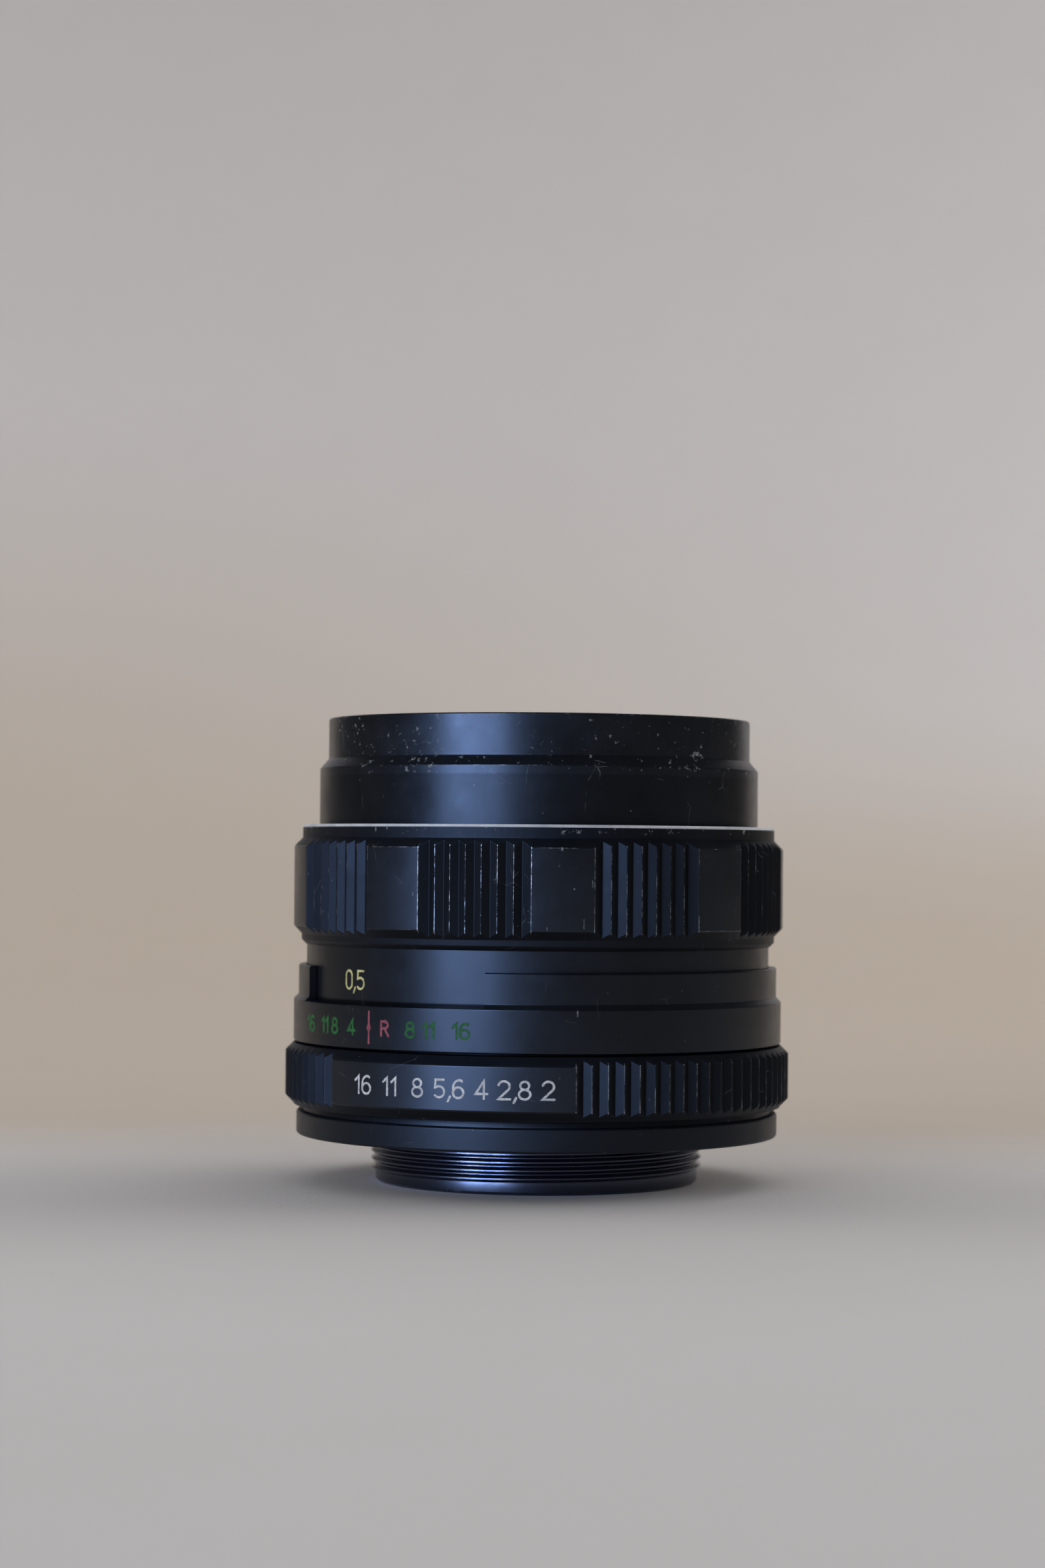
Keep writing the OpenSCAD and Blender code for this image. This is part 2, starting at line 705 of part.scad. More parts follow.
module name_ring() {
    color(black) revolve([[17.6, 45.5], [17.6, 45.9], [20.4, 46.9], [25.19, 46.9], [25.19, 46.2],
        [20.6, 46.2], [18.6, 45.5]]);
}

module lens_helicoid() {
    color(brass) difference() {
        revolve([[guide_out_r + 0.25, block_low], [helicoid_r, block_low], [helicoid_r, barrel_low - 0.05],
            [25.99, barrel_low - 0.05], [25.99, block_flange_high], [housing_r + 0.2, block_flange_high],
            [housing_r + 0.2, block_flange_low], [guide_out_r + 0.25, block_flange_low]]);
        helicoid_grooves(helicoid_r - 0.4, helicoid_r + cut, block_low, barrel_low - 0.5);
        // the guide keys run in these slots and stop the block turning
        for (az = key_az)
            at(az, 0, block_low - cut) translate([-key_w / 2 - slack, -helicoid_r - cut, 0])
                cube([key_w + 2 * slack, 4, key_high + focus_travel + 0.3 - block_low + cut]);
    }
}

module diaphragm_housing() {
    color(black) difference() {
        revolve([[iris_r, housing_low], [housing_r, housing_low], [housing_r, block_flange_high + fit],
            [25, block_flange_high + fit], [25, 42.7], [housing_r, 42.7], [housing_r, 43],
            [cell_r + fit, 43], [cell_r + fit, iris_high], [iris_r, iris_high]]);
        // the cam ring's pin comes out through this slot
        arc_band(iris_r - 0.5, housing_r + cut, cam_pin_z - cam_pin_r - slack, cam_pin_z + cam_pin_r + slack,
            cam_pin_az - aperture_turn - 2, cam_pin_az + 2);
    }
}

module cell_lock_ring() {
    color(brass) difference() {
        ring(housing_r + 0.2, 25.98, 42.71, 44);
        for (az = [45, 225])
            at(az, 23.5, 44) cube([1.5, 6, 1], center = true);
    }
}

module front_cell() {
    color(black) revolve([[cell_r, iris_high + 0.05], [cell_r, 43.01], [20.5, 43.01], [20.5, 43.8],
        [18.6, 43.8], [18.6, 45.2], [17.2, 45.2], [17.2, 43.7], [16, 43.7], [16, 40.3],
        [14.8, 40.3], [14, 38.5], [14, 25.25], [12, 25.25], [11.9, iris_high + 0.05]]);
}

// A lens element: the part of a cylinder between two surfaces. A surface is [vertex z, radius],
// and its centre lies above the vertex when the radius is positive and below it when negative.
module ball_at(surface, grow = 0) {
    translate([0, 0, surface[0] + surface[1]]) sphere(r = abs(surface[1]) + grow, $fn = 240);
}

module front_element() {
    color(glass) difference() {
        intersection() {
            translate([0, 0, 38]) cylinder(r = 15.98, h = 12);
            ball_at([46.6, -39]);
        }
        ball_at([41, -196]);
    }
}

module second_element() {
    color(glass) intersection() {
        translate([0, 0, 32.6]) cylinder(r = 13.98, h = 12);
        ball_at([40.6, -22]);
    }
}

module third_element() {
    color(glass) difference() {
        translate([0, 0, 25.3]) cylinder(r = 13.98, h = 7.3);
        ball_at([30.2, -14.6]);
    }
}

module fourth_element() {
    color(glass) difference() {
        translate([0, 0, 14.9]) cylinder(r = 12.48, h = 5.25);
        ball_at([16.9, 17]);
    }
}

module fifth_element() {
    color(glass) intersection() {
        translate([0, 0, 4.9]) cylinder(r = 12.48, h = 10);
        ball_at([6.9, 23.6]);
    }
}

module rear_element() {
    color(glass) intersection() {
        translate([0, 0, 0]) cylinder(r = 13.78, h = 8);
        ball_at([6.5, -100]);
        ball_at([1.5, 40]);
    }
}

// A threaded ring with two slots for a spanner
module slotted_ring(r_in, r_out, low, high, slot_z) {
    difference() {
        ring(r_in, r_out, low, high);
        for (az = [30, 210])
            at(az, (r_in + r_out) / 2, slot_z) cube([1, r_out - r_in + 1, 0.8], center = true);
    }
}

module doublet_lock_ring() {
    color(black) slotted_ring(12.6, 13.98, 36.7, 38, 38);
}

module front_retaining_ring() {
    color(black) slotted_ring(15, 17.19, 43.71, 45.1, 45.1);
}

module rear_cell() {
    color(black) revolve([[rear_cell_r, rear_cell_low], [rear_cell_r, housing_low],
        [iris_r - fit, housing_low], [iris_r - fit, iris_low], [12.5, iris_low], [12.5, 9.8],
        [11.5, 9.8], [11.5, 8], [12.8, 6.5], [12.8, 5.75], [13.8, 5.75], [13.8, 3.45],
        [14.6, 3.45], [14.6, rear_cell_low]]);
}

module rear_doublet_ring() {
    color(black) slotted_ring(10.4, 12.49, 20.17, 20.85, 20.85);
}

module rear_retaining_ring() {
    color(black) slotted_ring(12.8, 14.59, 1.6, 3.44, 1.6);
}

// ---- Diaphragm ----

plate_low = blade_top + 0.15;
plate_high = 24.8;

module pivot_plate() {
    color(black) difference() {
        ring(open_r - 0.05, iris_r - fit, plate_low, plate_high);
        for (i = [0 : blade_count - 1])
            rotate([0, 0, i * 360 / blade_count]) translate([pivot_r, 0, plate_low - cut])
                cylinder(r = pivot_pin_r, h = 4, $fn = 32);
    }
}

module pivot_pins() {
    color(steel) for (i = [0 : blade_count - 1])
        rotate([0, 0, i * 360 / blade_count]) translate([pivot_r, 0, cam_high + 0.05])
            cylinder(r = pivot_pin_r - fit, h = plate_high - cam_high - 0.1, $fn = 32);
}

// Blade number i, drawn closed. Its own arc is centred on the optical axis when it is open.
module blade(i) {
    bottom = blade_top - (i + 1) * blade_step + (blade_step - blade_t);
    drive = [pivot_r - drive_offset * sin(close_angle / 2), -drive_offset * cos(close_angle / 2)];
    lean = atan2(drive[1], drive[0] - pivot_r);
    color(steel) rotate([0, 0, i * 360 / blade_count])
        translate([pivot_r, 0, 0]) rotate([0, 0, close_angle]) translate([-pivot_r, 0, 0])
            difference() {
                union() {
                    rotate([0, 0, -4]) rotate_extrude(angle = blade_span + 4)
                        translate([open_r, bottom]) square([blade_out_r - open_r, blade_t]);
                    translate([pivot_r, 0, bottom]) cylinder(r = 0.95, h = blade_t, $fn = 32);
                    translate([pivot_r - 2, -0.95, bottom]) cube([2, 1.9, blade_t]);
                    translate([drive[0], drive[1], bottom]) cylinder(r = 0.55, h = blade_t, $fn = 32);
                    translate([pivot_r, 0, bottom]) rotate([0, 0, lean])
                        translate([0, -0.5, 0]) cube([drive_offset, 1, blade_t]);
                    translate([drive[0], drive[1], cam_low + 0.2])
                        cylinder(r = drive_pin_r, h = bottom - cam_low - 0.15, $fn = 32);
                }
                translate([pivot_r, 0, bottom - 0.05])
                    cylinder(r = pivot_pin_r + 0.03, h = blade_t + 0.1, $fn = 32);
            }
}

// Where a blade's drive pin stands in the cam ring when the blade has turned the share u of its
// travel, 0 open and 1 closed
function drive_path(u) =
    let (a = -90 + close_angle * (u - 0.5),
         x = pivot_r + drive_offset * cos(a), y = drive_offset * sin(a),
         turn = aperture_turn * (1 - u))
    [x * cos(turn) - y * sin(turn), x * sin(turn) + y * cos(turn)];

module cam_slot() {
    steps = 12;
    path = [for (i = [0 : steps]) drive_path(i / steps)];
    way = [
        for (i = [0 : steps])
            let (d = path[min(i + 1, steps)] - path[max(i - 1, 0)]) atan2(d[1], d[0])
    ];
    translate([0, 0, cam_low - cut]) linear_extrude(cam_high - cam_low + 2 * cut)
        polygon(concat(
            [for (i = [0 : steps]) path[i] + cam_slot_half * [cos(way[i] + 90), sin(way[i] + 90)]],
            [for (a = [60 : -30 : -60])
                path[steps] + cam_slot_half * [cos(way[steps] + a), sin(way[steps] + a)]],
            [for (i = [steps : -1 : 0]) path[i] + cam_slot_half * [cos(way[i] - 90), sin(way[i] - 90)]],
            [for (a = [240 : -30 : 120])
                path[0] + cam_slot_half * [cos(way[0] + a), sin(way[0] + a)]]));
}

module cam_ring() {
    color(brass) difference() {
        ring(open_r + 0.05, iris_r - 0.1, cam_low, cam_high);
        for (i = [0 : blade_count - 1])
            rotate([0, 0, i * 360 / blade_count]) cam_slot();
        radial_rod(cam_pin_az, 19.2, iris_r + cut, cam_pin_z, cam_pin_r - 0.15 + fit);
    }
}

module cam_ring_pin() {
    color(steel) {
        radial_rod(cam_pin_az, 19.25, housing_r + 0.3, cam_pin_z, cam_pin_r - 0.15);
        radial_rod(cam_pin_az, iris_r + 0.02, fork_out_r - 0.2, cam_pin_z, cam_pin_r);
    }
}

mount_ring();
mount_screws();
rear_ring();
base_body();
scale_ring();
scale_ring_screws();
guide_tube();
guide_tube_screws();
guide_keys();
guide_key_screws();
focus_retaining_ring();
focus_stop_pin();
click_ball();
click_spring();
rear_baffle();
baffle_screws();
pin_bracket();
pin_bracket_screw();
pin_spring();
stop_down_pin();
mode_switch();
focus_grip();
distance_scale();
focus_helicoid();
front_lock_ring();
aperture_ring();
aperture_drive_screws();
transfer_ring();
drive_fork();
front_barrel();
name_ring();
lens_helicoid();
diaphragm_housing();
cell_lock_ring();
front_cell();
front_element();
second_element();
third_element();
doublet_lock_ring();
front_retaining_ring();
rear_cell();
fourth_element();
fifth_element();
rear_element();
rear_doublet_ring();
rear_retaining_ring();
pivot_plate();
pivot_pins();
cam_ring();
cam_ring_pin();
blade(0);  // blade_1
blade(1);  // blade_2
blade(2);  // blade_3
blade(3);  // blade_4
blade(4);  // blade_5
blade(5);  // blade_6
blade(6);  // blade_7
blade(7);  // blade_8
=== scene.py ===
import math

import bmesh
import bpy
from mathutils import Matrix, Vector


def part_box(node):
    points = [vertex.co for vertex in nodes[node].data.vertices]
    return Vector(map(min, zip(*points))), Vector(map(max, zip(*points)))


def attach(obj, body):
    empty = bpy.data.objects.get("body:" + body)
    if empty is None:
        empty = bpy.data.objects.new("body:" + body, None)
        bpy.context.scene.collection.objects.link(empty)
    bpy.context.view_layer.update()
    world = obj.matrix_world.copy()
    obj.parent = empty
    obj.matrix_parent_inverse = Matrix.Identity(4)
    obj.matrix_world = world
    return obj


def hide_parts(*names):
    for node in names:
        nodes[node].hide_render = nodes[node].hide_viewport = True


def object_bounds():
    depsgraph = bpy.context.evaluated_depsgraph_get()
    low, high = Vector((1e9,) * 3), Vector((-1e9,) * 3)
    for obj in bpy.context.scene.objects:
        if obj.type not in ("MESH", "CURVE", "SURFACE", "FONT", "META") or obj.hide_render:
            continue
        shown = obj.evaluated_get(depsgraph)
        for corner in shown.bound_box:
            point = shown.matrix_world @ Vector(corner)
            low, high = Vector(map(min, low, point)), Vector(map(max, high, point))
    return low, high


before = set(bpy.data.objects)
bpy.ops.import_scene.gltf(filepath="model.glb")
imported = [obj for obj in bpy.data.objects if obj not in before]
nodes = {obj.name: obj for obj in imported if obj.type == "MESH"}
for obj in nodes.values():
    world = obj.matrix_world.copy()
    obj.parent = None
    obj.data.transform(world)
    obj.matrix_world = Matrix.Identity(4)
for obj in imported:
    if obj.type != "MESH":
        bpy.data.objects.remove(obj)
cad_box = [list(map(float, corner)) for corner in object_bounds()]
MM = 0.001
scene = bpy.context.scene


def mm(node):
    """Lowest and highest corner of a CAD node, in millimetres."""
    low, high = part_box(node)
    return [v / MM for v in low], [v / MM for v in high]


# ---------------------------------------------------------------- materials

def new_material(name):
    m = bpy.data.materials.new(name)
    m.use_nodes = True
    m.node_tree.nodes.clear()
    return m


class Graph:
    """Short names for building a node tree."""

    def __init__(self, material):
        self.t = material.node_tree

    def node(self, kind, **values):
        n = self.t.nodes.new(kind)
        inputs = values.pop("inputs", {})
        for key, value in values.items():
            setattr(n, key, value)
        for key, value in inputs.items():
            self.put(n.inputs[key], value)
        return n

    def put(self, socket, value):
        if isinstance(value, bpy.types.NodeSocket):
            self.t.links.new(value, socket)
        elif value is not None:
            socket.default_value = value

    def math(self, op, a, b=None):
        n = self.node("ShaderNodeMath", operation=op)
        self.put(n.inputs[0], a)
        self.put(n.inputs[1], b)
        return n.outputs[0]

    def add(self, a, b):
        return self.math("ADD", a, b)

    def sub(self, a, b):
        return self.math("SUBTRACT", a, b)

    def mul(self, a, b):
        return self.math("MULTIPLY", a, b)

    def sway(self, value, noise, amount):
        """The value moved up and down by a noise that lies round 0.5."""
        return self.add(value, self.mul(self.sub(noise, 0.5), amount))

    def mix(self, factor, a, b):
        n = self.node("ShaderNodeMix", data_type="RGBA")
        self.put(n.inputs["Factor"], factor)
        self.put(n.inputs[6], a)
        self.put(n.inputs[7], b)
        return n.outputs[2]

    def mixf(self, factor, a, b):
        n = self.node("ShaderNodeMix", data_type="FLOAT")
        self.put(n.inputs[0], factor)
        self.put(n.inputs[2], a)
        self.put(n.inputs[3], b)
        return n.outputs[0]

    def noise(self, vector, scale, detail=3.0, rough=0.5, out=0):
        n = self.node("ShaderNodeTexNoise", inputs={
            "Vector": vector, "Scale": scale, "Detail": detail, "Roughness": rough})
        return n.outputs[out]

    def step(self, value, low, high):
        n = self.node("ShaderNodeMapRange", interpolation_type="SMOOTHSTEP")
        for i, v in enumerate((value, low, high)):
            self.put(n.inputs[i], v)
        return n.outputs[0]

    def coords(self):
        """Object position in mm, angle round the axis in radians, radius and height in mm."""
        tex = self.node("ShaderNodeTexCoord").outputs["Object"]
        to_mm = {0: tex, "Scale": 1 / MM}
        scaled = self.node("ShaderNodeVectorMath", operation="SCALE", inputs=to_mm).outputs[0]
        x, y, z = self.node("ShaderNodeSeparateXYZ", inputs={0: scaled}).outputs
        angle = self.math("ARCTAN2", x, self.mul(y, -1.0))
        radius = self.math("SQRT", self.add(self.mul(x, x), self.mul(y, y)))
        return scaled, angle, radius, z

    def polar(self, angle, radius, z, along, across, up):
        """Coordinates round the axis, each times a factor: a noise is long where its factor is small."""
        return self.node("ShaderNodeCombineXYZ", inputs={
            0: self.mul(angle, along), 1: self.mul(radius, across), 2: self.mul(z, up)}).outputs[0]

    def bump(self, strength, depth_mm, height):
        return self.node("ShaderNodeBump", inputs={
            "Strength": strength, "Distance": depth_mm * MM, "Height": height}).outputs[0]

    def shade(self, *values):
        """Ends the tree in one Principled shader with these inputs."""
        names = ("Base Color", "Roughness", "Normal", "Specular IOR Level", "Metallic", "Specular Tint")
        self.output(self.node("ShaderNodeBsdfPrincipled", inputs=dict(zip(names, values))).outputs[0])

    def output(self, shader):
        out = self.node("ShaderNodeOutputMaterial")
        self.t.links.new(shader, out.inputs["Surface"])


def black_metal(name, base=(0.0022, 0.0025, 0.0034), rough=0.36, turning=0.5, chips=0.0, chip_low=0.0,
                chip_high=100.0, edge=1.0, bare=(0.55, 0.58, 0.64), spec=0.5, haze=1.0, scratches=1.0,
                tint=(0.72, 0.82, 1.0), wear_and_highlight_at=None, dull_below=None, dull_under=None, ticks=()):
    """Black anodised aluminium: fine turning lines, hazy handling marks, small scratches, and edges worn to
    bare metal where the mesh's wear attribute says so. Chips are small pale nicks between two heights. Edges
    near the azimuth wear_and_highlight_at are worn most, partly as wear and partly as a painted highlight
    where the light's highlight falls. Metal below the radius dull_below is less polished, and
    dull_under is a height and the share of the gloss left under it. Ticks are single pale nicks, given as
    (azimuth, low, high, width in degrees)."""
    m = new_material(name)
    g = Graph(m)
    pos, angle, radius, z = g.coords()
    # turning lines run round the axis, so they vary fast with height and radius and slowly with the angle
    lines = g.noise(g.polar(angle, radius, z, 0.6, 9.0, 9.0), 2.2, 4.0, 0.65)
    broad = g.noise(pos, 0.11, 3.0, 0.55)
    fine = g.noise(pos, 3.0, 3.0, 0.6)
    grain = g.noise(pos, 14.0, 2.0, 0.6)
    # edge wear comes and goes round the lens
    wear = g.node("ShaderNodeAttribute", attribute_name="wear").outputs["Fac"]
    handling_and_highlight = g.step(g.noise(pos, 0.085, 2.0, 0.5), 0.40, 0.62)
    # partly wear, partly painted highlight: edges that face this azimuth, where the light's highlight falls,
    # get more bare-metal wear
    if wear_and_highlight_at is not None:
        toward = g.math("COSINE", g.sub(angle, math.radians(wear_and_highlight_at)))
        handling_and_highlight = g.add(g.mul(handling_and_highlight, 0.7), g.mul(g.step(toward, 0.90, 0.985), 0.55))
    patch = g.noise(pos, 0.55, 4.0, 0.7)
    worn = g.mul(wear, g.mixf(handling_and_highlight, 0.40 * edge, edge))
    worn = g.add(worn, g.mul(g.sub(patch, 0.5), g.mul(wear, 2.2)))
    worn = g.add(worn, g.mul(g.sub(fine, 0.5), g.mul(wear, 1.2)))
    worn = g.step(worn, 0.50, 0.92)
    # scratches: thin bent cell edges, kept only in patches
    warp = g.noise(pos, 0.35, 2.0, 0.5, out=1)
    bent = g.node("ShaderNodeVectorMath", operation="ADD", inputs={0: pos, 1: warp}).outputs[0]
    cell = g.node("ShaderNodeTexVoronoi", feature="DISTANCE_TO_EDGE", inputs={"Vector": bent, "Scale": 0.16})
    line = g.sub(1.0, g.step(cell.outputs[0], 0.0, 0.0045))
    some = g.step(g.noise(pos, 0.21, 3.0, 0.6), 0.58, 0.66)
    scratch = g.mul(g.mul(line, some), 0.5 * scratches)
    dust_cell = g.node("ShaderNodeTexVoronoi", inputs={"Vector": pos, "Scale": 0.62, "Randomness": 1.0})
    dust = g.mul(g.sub(1.0, g.step(dust_cell.outputs["Distance"], 0.05, 0.085)),
                 g.step(g.noise(pos, 0.5, 1.0, 0.5), 0.50, 0.56))
    marks = g.math("MAXIMUM", scratch, g.mul(dust, 0.30 * scratches))
    color = g.mix(g.step(broad, 0.3, 0.75), (*base, 1), (*(min(1, c * 1.5 + 0.0003) for c in base), 1))
    color = g.mix(g.mul(g.step(fine, 0.35, 0.8), 0.10), color, (0.016, 0.017, 0.019, 1))
    color = g.mix(marks, color, (0.20, 0.21, 0.22, 1))
    color = g.mix(worn, color, (*bare, 1))
    smear = g.noise(g.polar(angle, radius, z, 9.0, 0.4, 0.35), 1.0, 3.0, 0.6)
    for noise, amount in ((broad, 0.14 * haze), (smear, 0.16 * haze), (lines, 0.16 * turning), (grain, 0.10)):
        rough = g.sway(rough, noise, amount)
    if dull_below is not None:
        dull = g.sub(1.0, g.step(radius, dull_below - 0.15, dull_below))
        rough = g.add(rough, g.mul(dull, 0.15))
        spec = g.mixf(dull, spec, 0.42 * spec)
    if dull_under is not None:
        top, left = dull_under
        spec = g.mixf(g.step(z, top - 0.3, top), left * spec, spec)
    rough = g.mixf(worn, rough, 0.38)
    metal = g.mul(worn, 0.6)
    if chips:
        near = g.mul(g.step(z, chip_low, chip_low + 0.5), g.sub(1.0, g.step(z, chip_high - 0.5, chip_high)))
        spots = g.noise(pos, 1.25, 5.0, 0.70)
        where = g.step(g.noise(pos, 0.16, 2.0, 0.5), 0.46, 0.62)
        amount = g.mul(near, g.step(g.add(spots, g.mul(where, 0.060)), 0.650, 0.680))
        amount = g.mul(amount, chips)
        tone = g.mix(g.step(g.noise(pos, 2.5, 2.0), 0.4, 0.65), (0.42, 0.43, 0.43, 1), (0.12, 0.125, 0.13, 1))
        color = g.mix(amount, color, tone)
        rough = g.mixf(amount, rough, 0.75)
    for azimuth, tick_low, tick_high, width in ticks:
        ragged = g.mul(g.sub(fine, 0.5), math.radians(width))
        away = g.math("ABSOLUTE", g.sub(g.add(angle, ragged), math.radians(azimuth)))
        side = g.sub(1.0, g.step(away, math.radians(0.3 * width), math.radians(0.55 * width)))
        tall = g.mul(g.step(z, tick_low, tick_low + 0.08), g.sub(1.0, g.step(z, tick_high - 0.08, tick_high)))
        tick = g.mul(g.mul(side, tall), g.step(grain, 0.38, 0.50))
        color = g.mix(tick, color, (0.19, 0.20, 0.22, 1))
        rough = g.mixf(tick, rough, 0.6)
    height = g.add(g.mul(lines, 0.30 * turning), g.mul(grain, 0.22))
    height = g.add(height, g.mul(marks, -0.5))
    g.shade(color, rough, g.bump(0.35, 0.02, height), spec, metal, (*tint, 1))
    return m


def plain_metal(name, color, rough=0.3, dirt=0.3, lines=0.6, stain=(0.12, 0.1, 0.08), metal=1.0):
    """Bare machined metal with turning lines, stains and a little dirt."""
    m = new_material(name)
    g = Graph(m)
    pos, angle, radius, z = g.coords()
    turned = g.noise(g.polar(angle, radius, z, 0.7, 8.0, 8.0), 2.0, 4.0, 0.6)
    blotch = g.noise(pos, 0.3, 4.0, 0.6)
    fine = g.noise(pos, 6.0, 3.0, 0.6)
    tone = g.mix(g.step(blotch, 0.35, 0.75), (*color, 1), (*(c * 0.72 for c in color), 1))
    tone = g.mix(g.mul(g.step(fine, 0.52, 0.8), dirt), tone, (*stain, 1))
    height = g.add(g.mul(turned, lines), g.mul(fine, 0.2))
    g.shade(tone, g.sway(rough, turned, 0.25), g.bump(0.4, 0.02, height), None, metal)
    return m


def matte_black(name, base=(0.008, 0.008, 0.009), rough=0.62):
    """Matte black lacquer inside the barrel, with fine orange peel and dust."""
    m = new_material(name)
    g = Graph(m)
    pos, angle, radius, z = g.coords()
    peel = g.noise(pos, 5.0, 3.0, 0.6)
    dust = g.step(g.noise(pos, 9.0, 5.0, 0.7), 0.66, 0.74)
    lines = g.noise(g.polar(angle, radius, z, 0.5, 8.0, 8.0), 2.0, 3.0, 0.6)
    color = g.mix(g.mul(dust, 0.35), (*base, 1), (0.12, 0.115, 0.105, 1))
    height = g.add(g.mul(peel, 0.5), g.mul(lines, 0.6))
    g.shade(color, g.sway(rough, peel, 0.2), g.bump(0.4, 0.02, height), 0.4)
    return m


def paint_fill(name, color, loss=0.5, sheen=0.3):
    """Paint rubbed into an engraved figure: uneven, slightly dirty, missing in small specks."""
    m = new_material(name)
    g = Graph(m)
    pos = g.coords()[0]
    speck = g.noise(pos, 4.5, 4.0, 0.7)
    tone = g.noise(pos, 1.6, 3.0, 0.6)
    base = g.mix(g.step(tone, 0.3, 0.7), (*color, 1), (*(c * 0.62 for c in color), 1))
    gone = g.step(speck, 0.66 - 0.1 * loss, 0.72 - 0.06 * loss)
    base = g.mix(gone, base, (0.03, 0.032, 0.036, 1))
    g.shade(base, 0.55, g.bump(0.6, 0.04, speck), sheen)
    return m


def lens_glass(name, coat=(0.55, 0.35, 0.9)):
    """Thin coated glass: clear, with a faint coloured reflection and light dust."""
    m = new_material(name)
    g = Graph(m)
    dust = g.step(g.noise(g.coords()[0], 7.0, 5.0, 0.75), 0.70, 0.78)
    clear = g.node("ShaderNodeBsdfTransparent", inputs={"Color": (0.93, 0.95, 0.95, 1)}).outputs[0]
    coating = g.node("ShaderNodeBsdfGlossy", inputs={"Color": (*coat, 1), "Roughness": 0.02}).outputs[0]
    dusty = g.node("ShaderNodeBsdfDiffuse", inputs={"Color": (0.5, 0.5, 0.48, 1)}).outputs[0]
    mirror = g.mul(g.node("ShaderNodeFresnel", inputs={"IOR": 1.5}).outputs[0], 0.9)
    glass = g.node("ShaderNodeMixShader", inputs={0: mirror, 1: clear, 2: coating}).outputs[0]
    g.output(g.node("ShaderNodeMixShader", inputs={0: g.mul(dust, 0.06), 1: glass, 2: dusty}).outputs[0])
    return m


MAT = {
    "barrel": black_metal("black_barrel", rough=0.33, turning=0.7, chips=1.0, chip_low=45.0, chip_high=52.5,
                          scratches=1.2, dull_under=(45.2, 0.70)),
    # the grip's edges round azimuth -14, where the highlight falls, are worn pale: partly wear, partly
    # painted highlight
    "grip": black_metal("black_grip", rough=0.33, turning=0.45, edge=1.05, scratches=0.9, chips=1.0,
                        chip_low=37.6, chip_high=39.2, wear_and_highlight_at=-14, dull_below=31.1,
                        ticks=((-41.3, 38.0, 38.9, 0.42), (-37.8, 38.2, 38.9, 0.34), (4.9, 35.8, 36.3, 0.42),
                               (7.6, 31.2, 31.45, 0.36), (11.7, 31.5, 32.4, 0.2), (9.8, 26.5, 27.8, 0.15),
                               (1.7, 26.4, 26.8, 0.2), (-29.0, 30.3, 30.8, 0.2))),
    # painted shade: the gloss left at 12% below 17.65 mm makes a dark strip at the sleeve's foot, where the
    # gap above the depth-of-field ring lies in shade
    "sleeve": black_metal("black_sleeve", rough=0.35, spec=0.40, turning=0.4, scratches=0.6,
                          dull_under=(17.65, 0.12)),
    "scale": black_metal("black_scale", rough=0.33, turning=0.7, scratches=0.5, edge=0.75, spec=0.42,
                         ticks=((8.6, 16.2, 17.0, 0.30),)),
    "aperture": black_metal("black_aperture", rough=0.34, turning=0.4, edge=0.95, scratches=0.8,
                            dull_below=32.0),
    "rear": black_metal("black_rear", rough=0.42, turning=0.6, edge=0.7, spec=0.32),
    "thread": black_metal("blue_black_thread", base=(0.003, 0.0032, 0.006), rough=0.19, turning=0.3, edge=0.6,
                          bare=(0.26, 0.26, 0.38), tint=(0.66, 0.74, 1.0), spec=0.9, scratches=0.4, haze=0.4),
    "lacquer": matte_black("matte_lacquer"),
    "blade": black_metal("blackened_steel", base=(0.012, 0.012, 0.014), rough=0.42, turning=0.2,
                         scratches=0.3),
    "bare": plain_metal("bare_rim", (0.49, 0.51, 0.54), rough=0.62, dirt=0.5, metal=0.1),
    "steel": plain_metal("steel", (0.55, 0.55, 0.57), rough=0.3),
    "dark_steel": plain_metal("blackened_screw", (0.10, 0.10, 0.11), rough=0.38),
    "brass": plain_metal("brass", (0.63, 0.46, 0.2), rough=0.32),
    "alu": plain_metal("machined_aluminium", (0.72, 0.72, 0.74), rough=0.34),
    "white": paint_fill("white_figures", (0.70, 0.73, 0.79), 0.8),
    "green": paint_fill("green_figures", (0.030, 0.155, 0.045), 0.9, sheen=0.08),
    "red": paint_fill("red_figures", (0.34, 0.065, 0.10), 0.5),
    "yellow": paint_fill("yellow_figures", (0.60, 0.58, 0.27), 0.3),
    "glass": lens_glass("coated_glass"),
    "glass_back": lens_glass("coated_glass_rear", coat=(0.9, 0.6, 0.35)),
}


# ---------------------------------------------------------------- mesh tools

def signed_area(points):
    """Positive for an outline that runs anticlockwise. Only a point's first two numbers count."""
    return sum(p[0] * q[1] - q[0] * p[1] for p, q in zip(points, points[1:] + points[:1]))


